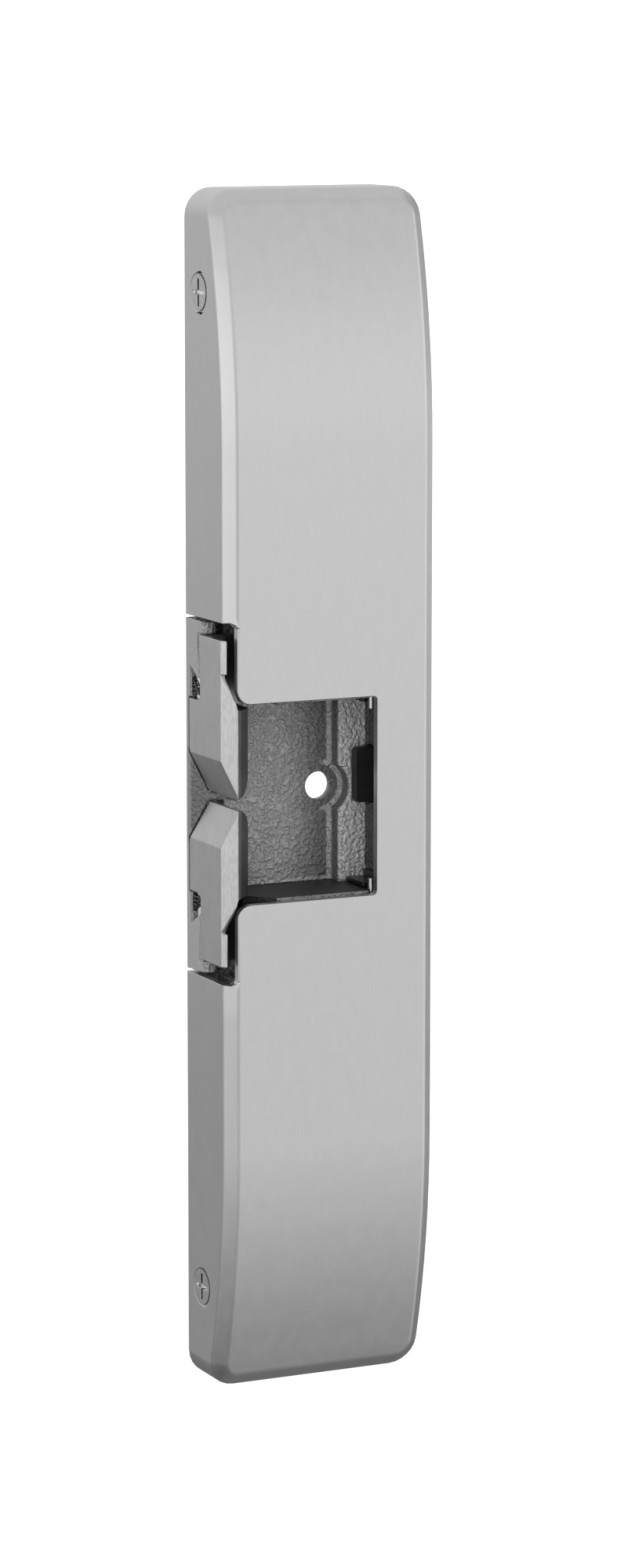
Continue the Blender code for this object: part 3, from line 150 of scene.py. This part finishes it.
ROUNDING_STEPS = 3
NORMALS_WEIGHT = 60
WELD_DISTANCE = 0.001 * MM
FLAT_ANGLE = 0.4
COIL_STEPS = 28.0
COIL_SIDES = 10
CLOSED_PITCH = 2.04


# ---------------------------------------------------------------- node maths

class Value:
    """A socket of a node tree that takes part in ordinary maths."""

    def __init__(self, graph, socket):
        self.graph = graph
        self.socket = socket

    def apply(self, operation, *operands):
        made = self.graph.tree.nodes.new("ShaderNodeMath")
        made.operation = operation
        for socket, operand in zip(made.inputs, operands):
            self.graph.feed(socket, operand)
        return Value(self.graph, made.outputs[0])

    def __add__(self, other):
        return self.apply("ADD", self, other)

    def __sub__(self, other):
        return self.apply("SUBTRACT", self, other)

    def __mul__(self, other):
        return self.apply("MULTIPLY", self, other)

    def __truediv__(self, other):
        return self.apply("DIVIDE", self, other)

    def __radd__(self, other):
        return self.apply("ADD", other, self)

    def __rsub__(self, other):
        return self.apply("SUBTRACT", other, self)

    def __neg__(self):
        return self.apply("SUBTRACT", 0.0, self)

    def magnitude(self):
        return self.apply("ABSOLUTE", self)

    def root(self):
        return self.apply("SQRT", self)

    def sin(self):
        return self.apply("SINE", self)

    def cos(self):
        return self.apply("COSINE", self)

    def at_least(self, other):
        return self.apply("MAXIMUM", self, other)

    def at_most(self, other):
        return self.apply("MINIMUM", self, other)

    def step(self, low, high):
        """0 below low, 1 above high, eased in between."""
        made = self.graph.node("ShaderNodeMapRange", {"interpolation_type": "SMOOTHSTEP"},
                               {"Value": self, "From Min": low, "From Max": high})
        return Value(self.graph, made.outputs["Result"])

    def after(self, fade):
        """0 before a fade and 1 after it."""
        start, end = fade
        return self.step(start * MM, end * MM)

    def before(self, fade):
        """1 before a fade and 0 after it."""
        return 1 - self.after(fade)

    def within(self, stretch):
        """1 inside a stretch and 0 outside it."""
        fade_in, fade_out = stretch
        return self.after(fade_in) * self.before(fade_out)

    def ramp(self, points):
        """Straight pieces through (place, height) points, level outside them."""
        (place, height), rest = points[0], points[1:]
        total = self * 0.0 + height
        for next_place, next_height in rest:
            run = next_place - place
            share = (self - place).at_least(0.0).at_most(run)
            total = total + share * ((next_height - height) / run)
            place, height = next_place, next_height
        return total


class Graph:
    """Makes and links the nodes of one tree."""

    def __init__(self, tree):
        self.tree = tree

    def feed(self, socket, value):
        if isinstance(value, Value):
            self.tree.links.new(value.socket, socket)
        else:
            socket.default_value = value

    def node(self, kind, settings=None, sockets=None):
        made = self.tree.nodes.new(kind)
        for key, value in (settings or {}).items():
            setattr(made, key, value)
        for key, value in (sockets or {}).items():
            self.feed(made.inputs[key], value)
        return made

    def output(self, made, key=0):
        return Value(self, made.outputs[key])

    def split(self, vector):
        made = self.node("ShaderNodeSeparateXYZ", sockets={0: vector})
        return [self.output(made, axis) for axis in range(3)]

    def join(self, x, y, z):
        return self.output(self.node("ShaderNodeCombineXYZ", sockets={0: x, 1: y, 2: z}))

    def stretch(self, vector, scale):
        made = self.node("ShaderNodeVectorMath", {"operation": "MULTIPLY"},
                         {0: vector, 1: scale})
        return self.output(made)

    def mix(self, share, first, second):
        """A colour between two; sockets 6, 7 and 2 are the mix node's colour ones."""
        made = self.node("ShaderNodeMix", {"data_type": "RGBA"},
                         {0: share, 6: first, 7: second})
        return self.output(made, 2)

    def noise(self, vector, size, detail=3.0, rough=0.55):
        """Noise from 0 to 1 with features of about the given size in metres."""
        made = self.node("ShaderNodeTexNoise", sockets={"Vector": vector, "Scale": 1 / size,
                                                        "Detail": detail, "Roughness": rough})
        return self.output(made, 0)


def grey(level, warmth=0.0):
    """A grey of the given brightness, made warmer by a share of it."""
    return (level * (1 + warmth), level, level * (1 - warmth), 1.0)


# ---------------------------------------------------------------- finishes

class Finish:
    """A surface being described: its place on the object and the sockets of its shader."""

    def __init__(self, name, metal=1.0, coat=0.0):
        self.material = bpy.data.materials.new(name)
        self.material.use_nodes = True
        self.graph = Graph(self.material.node_tree)
        self.shader = self.material.node_tree.nodes["Principled BSDF"]
        self.shader.inputs["Metallic"].default_value = metal
        self.shader.inputs["Coat Weight"].default_value = coat
        self.place = self.graph.output(self.graph.node("ShaderNodeTexCoord"), "Object")
        self.x, self.y, self.z = self.graph.split(self.place)

    def noise(self, size, scale=(1, 1, 1), detail=3.0, rough=0.55):
        return self.graph.noise(self.graph.stretch(self.place, scale), size, detail, rough)

    def colour(self, value):
        self.graph.feed(self.shader.inputs["Base Color"], value)

    def roughness(self, value):
        self.graph.feed(self.shader.inputs["Roughness"], value)

    def bump(self, height, depth, strength=1.0):
        made = self.graph.node("ShaderNodeBump", sockets={"Height": height, "Distance": depth,
                                                          "Strength": strength})
        self.graph.feed(self.shader.inputs["Normal"], self.graph.output(made))


def satin_finish(name, level, mottle, roughness, border=False, shaded=False):
    """Blasted and plated metal: a very fine grain, a soft mottle and faint upright lines.

    border paints a highlight along the upper part of the cover's slanted border, shade at its
    lower end and a highlight line at the right. shaded paints shade on the keepers' inner
    bevel and mottled shade on their outer facet. Both belong to one view and don't follow the
    light."""
    made = Finish(name)
    grain = made.noise(0.16 * MM, detail=2.0)
    cloud = made.noise(2.6 * MM, (1, 1, 0.6), 4.0)
    lines = made.noise(0.22 * MM, (1, 1, 0.05), 2.0)
    tone = cloud * 0.5 + lines * 0.3 + grain * 0.2
    colour = made.graph.mix(tone.step(*SPREAD), grey(level * (1 - mottle)),
                            grey(level * (1 + mottle)))
    if border:
        slanted = made.x.within(BORDER)
        # Painted highlight along the border's upper part, painted shade at its lower end and a
        # painted highlight line at the right.
        painted_highlight = slanted * made.z.within(BORDER_PAINTED_HIGHLIGHT)
        painted_shade = slanted * made.z.before(BORDER_PAINTED_SHADE_END)
        line = made.x.within(BORDER_HIGHLIGHT_LINE)
        colour = made.graph.mix(painted_highlight * 0.12 + line * 0.3, colour, grey(0.8))
        colour = made.graph.mix(painted_shade * 0.1, colour, grey(0.1))
    if shaded:
        # Painted shade on the keepers' inner bevel, and painted shade broken into streaks on their
        # outer facet.
        inner = made.x.after(KEEPER_BEVEL)
        facet = made.x.after(KEEPER_FACET) * (1 - inner) * made.y.before(KEEPER_FACET_END)
        brushed_shade = made.noise(0.35 * MM, (1, 1, 0.25), 4.0)
        colour = made.graph.mix(inner * 0.6, colour, grey(0.12))
        colour = made.graph.mix(facet * brushed_shade.step(0.4, 0.62) * 0.4, colour, grey(0.36))
    made.colour(colour)
    made.roughness(roughness + (cloud - 0.5) * 0.1 + (grain - 0.5) * 0.06)
    made.bump(grain * 0.6 + lines * 0.4, 0.012 * MM, 0.5)
    return made.material


def cast_finish(name):
    """Dark die casting with an orange peel skin, machined bright where it is flush with the side.

    The walls, the step, the floor and the corners of the latch pocket and the ramp beside it carry
    painted shade and painted light as they are seen from the front left; it doesn't follow the
    light."""
    made = Finish(name, metal=0.25)
    low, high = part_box("base_casting")
    nearest, deepest = (low[0] + depth * MM for depth in FLUSH_DEPTH)
    flush = 1 - made.x.step(nearest, deepest)
    # Places of the pocket where shade and light are painted:
    height = made.z.magnitude()
    in_front = made.y.before(POCKET_BACK)
    inside = made.x.after(POCKET_LEFT) * made.y.after(POCKET_FRONT) * in_front
    end_wall = height.within(END_WALL) * inside
    right_wall = made.x.after(RIGHT_WALL) * made.y.after(POCKET_FRONT) * in_front
    ramp = made.x.before(RAMP_RIGHT) * height.before(RAMP_END) * made.y.before(RAMP_BACK)
    away = made.x - HOLE_X * MM
    right_half = away.after(HOLE_SIDE)
    ring = (away * away + made.z * made.z).root()
    beside_hole = height.before(HOLE_END)
    foot = made.x.after((STEP_X - 1.0, STEP_X - 0.7))
    step_foot = foot * (1 - beside_hole) + ring.after(HOLE_RIM) * right_half * beside_hole
    low_floor = made.y.after(LOW_FLOOR) * inside
    riser = made.y.within(RISER) * right_half * inside
    plateau = made.y.within(PLATEAU) * right_half * inside

    peel = made.noise(0.72 * MM, detail=1.4, rough=0.45)
    fine = made.noise(0.3 * MM)
    cloud = made.noise(4.0 * MM)
    skin = (cloud * 0.45 + peel * 0.55).step(0.25, 0.75)
    dark = made.graph.mix(skin, grey(0.43), grey(0.6))
    # How far each place is pulled towards which grey, one after the other: painted shade on the
    # floor towards the step, the riser, the right wall, the end walls and the ramp, and painted
    # light along the step's foot and round the hole, on the plateau and at the pocket's ends.
    painted_shade_and_light = ((made.x.after(FLOOR_SHADE) * low_floor * 0.72, 0.12),
              (step_foot * low_floor * 0.75, 0.72),
              (plateau * 0.85, 0.92),
              (riser * 0.7, 0.1),
              (height.after(POCKET_CORNER) * low_floor * 0.6, 0.8),
              (right_wall * 0.85, 0.05),
              (end_wall, 0.05),
              (ramp * 0.75, 0.12))
    for share, level in painted_shade_and_light:
        dark = made.graph.mix(share, dark, grey(level))
    lit = made.graph.mix(fine.step(0.35, 0.65), grey(0.42), grey(0.50))
    made.colour(made.graph.mix(flush * (1 - ramp * 0.6), dark, lit))
    made.roughness(0.40 + fine * 0.14 - flush * 0.04)
    bumps = peel.step(*SPREAD) * 0.8 + fine * 0.3
    made.bump(bumps * (1 - flush * 0.93) * (1 - end_wall * 0.7), 0.42 * MM)
    return made.material


def steel_finish(name, level, roughness, length=0.06):
    """Drawn steel with fine lines and a few darker stains."""
    made = Finish(name)
    lines = made.noise(0.12 * MM, (1, 1, length), 3.0)
    stain = made.noise(1.4 * MM, detail=4.0)
    tone = lines * 0.55 + stain * 0.45
    made.colour(made.graph.mix(tone.step(*SPREAD), grey(level * 0.78, 0.01),
                               grey(level * 1.12)))
    made.roughness(roughness + (stain - 0.5) * 0.16)
    made.bump(lines, 0.01 * MM, 0.6)
    return made.material


def screw_finish(name):
    """Bright screw heads whose cross recess carries painted shade down its length and a painted
    highlight across.
    """
    made = Finish(name)
    low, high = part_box("cover_screw_1")
    face = max(abs(low.x), abs(high.x))
    middle = abs(low.z + high.z) / 2
    deepest, nearest = (face + depth * MM for depth in RECESS_DEPTH)
    deep = 1 - made.x.magnitude().step(deepest, nearest)
    across = (made.z.magnitude() - middle).magnitude().before(RECESS_ARM)
    lines = made.noise(0.15 * MM, (1, 0.2, 1), 3.0)
    metal = made.graph.mix(lines.step(*SPREAD), grey(0.48), grey(0.62))
    # Painted shade in the recess down its length and a painted highlight in its arm across.
    recess = made.graph.mix(across, grey(0.02), grey(0.98))
    made.colour(made.graph.mix(deep, metal, recess))
    made.roughness(0.3 + lines * 0.12)
    made.bump(lines, 0.01 * MM, 0.5)
    return made.material


def plastic_finish(name, dark, light, roughness, coat=0.0):
    """Moulded plastic with a fine spark-eroded grain and a soft change of tone."""
    made = Finish(name, metal=0.0, coat=coat)
    grain = made.noise(0.2 * MM, detail=2.0)
    cloud = made.noise(3.0 * MM, detail=3.0)
    made.colour(made.graph.mix((cloud * 0.6 + grain * 0.4).step(*SPREAD), dark, light))
    made.roughness(roughness + (grain - 0.5) * 0.15)
    made.bump(grain, 0.02 * MM, 0.6)
    return made.material


def copper_finish(name):
    """Enamelled copper wire, redder in some turns than in others."""
    made = Finish(name, coat=0.5)
    turns = made.noise(0.5 * MM, (0.2, 0.2, 1), 2.0)
    cloud = made.noise(3.0 * MM, detail=3.0)
    made.colour(made.graph.mix((turns * 0.7 + cloud * 0.3).step(*SPREAD),
                               (0.42, 0.12, 0.04, 1), (0.78, 0.33, 0.14, 1)))
    made.roughness(0.28 + (cloud - 0.5) * 0.1)
    made.bump(turns, 0.01 * MM, 0.4)
    return made.material


def board_finish(name):
    """Solder mask over a woven board, with straight copper tracks that show through it."""
    made = Finish(name, metal=0.0, coat=0.4)
    thread_spacing, track_spacing = 0.5 * MM, 2.54 * MM
    thread = 2 * math.pi / thread_spacing
    weave = (made.x * thread).sin() * (made.z * thread).sin()
    track = (made.x * (2 * math.pi / track_spacing)).sin().step(0.72, 0.8)
    cloud = made.noise(5.0 * MM, detail=2.0)
    mask = made.graph.mix(cloud.step(*SPREAD), (0.008, 0.10, 0.035, 1),
                          (0.014, 0.15, 0.05, 1))
    made.colour(made.graph.mix(track * 0.7, mask, (0.03, 0.24, 0.08, 1)))
    made.roughness(0.34 + cloud * 0.08)
    made.bump(weave * 0.3 + track, 0.02 * MM, 0.5)
    return made.material


def floor_finish(name):
    """A matt studio floor that glows as painted light, white at the right and with painted shade
    at the left, so that the side stays grey.
    """
    made = Finish(name, metal=0.0)
    cloud = made.noise(0.8, detail=2.0)
    white = (made.x - made.y * 0.05).step(-0.1, 0.1)
    dim = made.y.ramp(FLOOR_DIMMING) + cloud * 0.02
    black = grey(0.0)
    made.colour(made.graph.mix(white, made.graph.mix(dim, black, grey(1.0)), grey(0.93)))
    made.roughness(0.8 + cloud * 0.05)
    # The floor glows, as painted light, dimmer at its left.
    painted_glow = made.graph.mix(white, made.graph.mix(dim, black, grey(0.28)), grey(0.5))
    made.graph.feed(made.shader.inputs["Emission Color"], painted_glow)
    made.shader.inputs["Emission Strength"].default_value = 1.0
    return made.material


# ---------------------------------------------------------------- shapes

def sharp_edges(mesh, angle):
    """The edges of a mesh that turn by more than an angle, each with that angle."""
    for edge in mesh.edges:
        if len(edge.link_faces) == 2:
            turn = edge.calc_face_angle(0.0)
            if turn > angle:
                yield edge, turn


def refine(node, finish, width, wide=None, soft=None, merge=True, angle=24):
    """A finer copy of a CAD node: clean faces and rounded edges, riding on the same body.

    Edges that turn by more than angle are rounded to width, and those for which
    soft(edge, turn) holds to wide. merge joins the flat faces first."""
    source = frame["nodes"][node]
    mesh = source.data.copy()
    mesh.name = f"{node}_shell"
    build = bmesh.new()
    build.from_mesh(mesh)
    bmesh.ops.remove_doubles(build, verts=build.verts, dist=WELD_DISTANCE)
    if merge:
        bmesh.ops.dissolve_limit(build, angle_limit=math.radians(FLAT_ANGLE),
                                 verts=build.verts, edges=build.edges)
    layer = build.edges.layers.float.new("bevel_weight_edge")
    largest = wide or width
    for edge, turn in sharp_edges(build, math.radians(angle)):
        edge[layer] = 1.0 if soft and soft(edge, turn) else width / largest
    for face in build.faces:
        face.smooth = True
    build.to_mesh(mesh)
    build.free()
    piece = bpy.data.objects.new(f"{node}_shell", mesh)
    bpy.context.scene.collection.objects.link(piece)
    mesh.materials.clear()
    mesh.materials.append(finish)
    rounding = piece.modifiers.new("rounding", "BEVEL")
    rounding.limit_method = "WEIGHT"
    rounding.width = largest
    rounding.segments = ROUNDING_STEPS
    rounding.use_clamp_overlap = False
    rounding.miter_outer = "MITER_ARC"
    normals = piece.modifiers.new("normals", "WEIGHTED_NORMAL")
    normals.weight = NORMALS_WEIGHT
    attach(piece, source["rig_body"])
    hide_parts(node)
    return piece


def outer_cover_edge(edge, turn):
    """True on the two long edges of the cover's slanted border."""
    flat_half_width, flat_half_length, side_depth = 18.9 * MM, 110 * MM, 6 * MM
    steepest = math.radians(62)
    ends = [vertex.co for vertex in edge.verts]
    outside = all(abs(end.x) > flat_half_width or abs(end.z) > flat_half_length
                  for end in ends)
    return outside and turn < steepest and all(end.y < -side_depth for end in ends)


def coil_group():
    """Geometry nodes that wind one round wire into a coil along Z, with its end turns closed."""
    group = bpy.data.node_groups.new("wire_coil", "GeometryNodeTree")
    face = group.interface
    names = {"Radius": 2 * MM, "Wire": 0.2 * MM, "Start": 0.0, "End": 0.01, "Turns": 8.0,
             "Closed": 1.0, "Centre X": 0.0, "Centre Y": 0.0}
    for name, value in names.items():
        item = face.new_socket(name, in_out="INPUT", socket_type="NodeSocketFloat")
        item.default_value = value
    face.new_socket("Finish", in_out="INPUT", socket_type="NodeSocketMaterial")
    face.new_socket("Geometry", in_out="OUTPUT", socket_type="NodeSocketGeometry")
    graph = Graph(group)
    entry = graph.node("NodeGroupInput")
    given = {name: graph.output(entry, name) for name in list(names) + ["Finish"]}
    count = given["Turns"] * COIL_STEPS
    line = graph.node("GeometryNodeCurvePrimitiveLine")
    points = graph.node("GeometryNodeResampleCurve",
                        sockets={"Curve": graph.output(line), "Count": count})
    along = graph.output(graph.node("GeometryNodeSplineParameter"), "Factor")
    turn = along * given["Turns"]
    angle = turn * (2 * math.pi)
    free = given["Turns"] - given["Closed"] * 2
    share = ((turn - given["Closed"]) / free).at_least(0.0).at_most(1.0)
    pitch = given["Wire"] * CLOSED_PITCH
    closing = pitch * given["Closed"]
    inside = share * (given["End"] - given["Start"] - closing * 2)
    first = turn.at_most(given["Closed"]) * pitch
    last = (turn - given["Turns"] + given["Closed"]).at_least(0.0) * pitch
    height = given["Start"] + first + inside + last
    place = graph.join(given["Centre X"] + given["Radius"] * angle.cos(),
                       given["Centre Y"] + given["Radius"] * angle.sin(), height)
    wound = graph.node("GeometryNodeSetPosition",
                       sockets={"Geometry": graph.output(points), "Position": place})
    ring = graph.node("GeometryNodeCurvePrimitiveCircle",
                      sockets={"Resolution": COIL_SIDES, "Radius": given["Wire"]})
    wire = graph.node("GeometryNodeCurveToMesh", sockets={"Curve": graph.output(wound),
                                                          "Profile Curve": graph.output(ring),
                                                          "Fill Caps": True})
    smooth = graph.node("GeometryNodeSetShadeSmooth", sockets={"Geometry": graph.output(wire)})
    real = graph.node("GeometryNodeRealizeInstances", sockets={"Geometry": graph.output(smooth)})
    done = graph.node("GeometryNodeSetMaterial", sockets={"Geometry": graph.output(real),
                                                          "Material": given["Finish"]})
    exit_node = graph.node("NodeGroupOutput")
    graph.feed(exit_node.inputs["Geometry"], graph.output(done))
    return group


def wind(group, node, body, slot, finish, **sizes):
    """A coil made by the node group, turned into a plain mesh that stands for a CAD node."""
    holder = bpy.data.objects.new("winder", bpy.data.meshes.new("winder"))
    bpy.context.scene.collection.objects.link(holder)
    modifier = holder.modifiers.new("coil", "NODES")
    modifier.node_group = group
    sockets = {item.name: item.identifier for item in group.interface.items_tree
               if item.in_out == "INPUT"}
    for name, value in sizes.items():
        modifier[sockets[name.replace("_", " ")]] = value
    modifier[sockets["Finish"]] = finish
    bpy.context.view_layer.update()
    ready = holder.evaluated_get(bpy.context.evaluated_depsgraph_get())
    mesh = bpy.data.meshes.new_from_object(ready)
    bpy.data.objects.remove(holder)
    piece = bpy.data.objects.new(f"{node}_wound", mesh)
    bpy.context.scene.collection.objects.link(piece)
    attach(piece, body)
    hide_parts(node)
    return piece


def repaint(nodes, finish):
    """Give CAD nodes that keep their own shape a finish."""
    for node in nodes:
        for material_slot in frame["nodes"][node].material_slots:
            material_slot.material = finish


def both(*stems):
    """The names of the upper and the lower node of each kind."""
    return [f"{stem}_{half}" for stem in stems for half in HALVES]


# ---------------------------------------------------------------- studio

def studio_light():
    """A soft studio: bright ahead, a brighter panel at the front left, greyer behind.

    The light is a brightness by direction, shaped for the view along VIEW_DIRECTION, with an
    even backdrop open behind the strike in that view. There are no lamps."""
    world = bpy.data.worlds.new("studio")
    bpy.context.scene.world = world
    world.use_nodes = True
    graph = Graph(world.node_tree)
    x, y, z = graph.split(graph.output(graph.node("ShaderNodeTexCoord"), "Generated"))
    left, front = -x, -y
    panel = (z.ramp(LIGHT_PANEL) - 1) * left.step(*PANEL_SIDE)
    notch = x.step(*NOTCH_LEFT) * (1 - x.step(*NOTCH_RIGHT)) * (1 - z.step(*NOTCH_TOP))
    before = z.ramp(LIGHT_AHEAD) * (1 + panel) * (1 - notch * NOTCH_SHARE)
    strip = (left.step(*STRIP_SIDE) * front.step(*STRIP_FRONT)
             * z.step(*STRIP_FOOT) * (1 - z.step(*STRIP_TOP)))
    behind = z.ramp(LIGHT_BEHIND) * (1 - x.step(*RIGHT_SIDE) * RIGHT_SHARE)
    turn = y.step(*FRONT_TO_BEHIND)
    level = before * (1 - turn) + behind * turn + strip * STRIP_LEVEL
    along_x, along_y, along_z = VIEW_DIRECTION
    toward = x * along_x + y * along_y + z * along_z
    open_back = toward.step(*(math.cos(math.radians(angle)) for angle in BACKDROP_ANGLES))
    level = level * (1 - open_back) + open_back * BACKDROP_LEVEL
    background = world.node_tree.nodes["Background"]
    graph.feed(background.inputs["Color"], graph.join(level, level, level))


def studio_floor(finish):
    """A wide floor well below and behind the strike, which hangs on its mounting face."""
    mesh = bpy.data.meshes.new("floor")
    corners = [(x, y, FLOOR_LEVEL) for x, y in
               ((-FLOOR_SIDE, FLOOR_NEAR), (FLOOR_SIDE, FLOOR_NEAR),
                (FLOOR_SIDE, FLOOR_FAR), (-FLOOR_SIDE, FLOOR_FAR))]
    mesh.from_pydata(corners, [], [(0, 1, 2, 3)])
    mesh.materials.append(finish)
    floor = bpy.data.objects.new("floor", mesh)
    bpy.context.scene.collection.objects.link(floor)


def camera():
    data = bpy.data.cameras.new("camera")
    data.lens = CAMERA_LENS
    data.sensor_width = CAMERA_SENSOR
    data.clip_start = 0.01
    view = bpy.data.objects.new("camera", data)
    bpy.context.scene.collection.objects.link(view)
    view.location = CAMERA_PLACE
    view.rotation_euler = (math.radians(90 + CAMERA_PITCH), 0, math.radians(CAMERA_YAW))
    bpy.context.scene.camera = view


# ---------------------------------------------------------------- the strike

camera()
studio_light()
bpy.context.scene.view_settings.view_transform = "Standard"

cover_metal = satin_finish("cover_metal", 0.58, 0.035, 0.36, border=True)
keeper_metal = satin_finish("keeper_metal", 0.54, 0.07, 0.34, shaded=True)
cast_metal = cast_finish("cast_metal_skin")
steel = steel_finish("bright_steel", 0.6, 0.26)
screw_steel = steel_finish("screw_steel", 0.56, 0.34, 0.5)
cover_screw = screw_finish("cover_screw_steel")
dark_steel_and_shade = steel_finish("dark_steel_and_shade", 0.12, 0.38)
black_plastic = plastic_finish("black_plastic_skin", grey(0.012), grey(0.022), 0.5)
white_plastic = plastic_finish("white_plastic_skin", grey(0.62, 0.03), grey(0.7, 0.03), 0.4)
copper = copper_finish("enamelled_copper")
board = board_finish("board_skin")

refine("cover", cover_metal, 0.14 * MM, 0.5 * MM, outer_cover_edge)
refine("base_casting", cast_metal, 0.14 * MM, merge=False)
for half in HALVES:
    refine(f"keeper_{half}", keeper_metal, 0.18 * MM, angle=17)
    refine(f"corner_clip_{half}", dark_steel_and_shade, 0.06 * MM)
    refine(f"locking_slide_{half}", steel, 0.12 * MM)
    refine(f"guide_pin_{half}", steel, 0.1 * MM)
refine("monitor_paddle", black_plastic, 0.16 * MM)
for screw in COVER_SCREWS:
    refine(screw, cover_screw, 0.08 * MM)

coils = coil_group()
for half in HALVES:
    low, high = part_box(f"winding_{half}")
    middle = (low + high) / 2
    wire = 0.2 * MM
    spacing = 2.02 * wire
    wind(coils, f"winding_{half}", "strike", "copper_winding", copper,
         Radius=(high.x - low.x) / 2 - wire, Wire=wire, Start=low.z + wire, End=high.z - wire,
         Turns=(high.z - low.z - 2 * wire) / spacing, Closed=0.0,
         Centre_X=middle.x, Centre_Y=middle.y)
    low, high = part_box(f"plunger_spring_{half}")
    middle = (low + high) / 2
    wire = 0.25 * MM
    spring = wind(coils, f"plunger_spring_{half}", "strike", "steel", steel,
                  Radius=(high.x - low.x) / 2 - wire, Wire=wire,
                  Start=low.z + wire, End=high.z - wire,
                  Turns=6.0, Closed=1.0, Centre_X=middle.x, Centre_Y=middle.y)
    fixed = min(low.z, high.z, key=abs)
    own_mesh(spring)

repaint(both("hinge_pin", "link_pin", "plunger"), steel)
repaint(both("solenoid_frame"), screw_steel)
# The torsion springs are dark steel as painted shade of the dark notch they sit in.
repaint(both("torsion_spring"), dark_steel_and_shade)
repaint(FRAME_SCREWS, screw_steel)
repaint(both("bobbin"), white_plastic)
repaint(["monitor_switch", "switch_button", "capacitor", "rectifier"], black_plastic)
repaint(["wire_header"], white_plastic)
repaint(["control_board"], board)

studio_floor(floor_finish("studio_floor"))
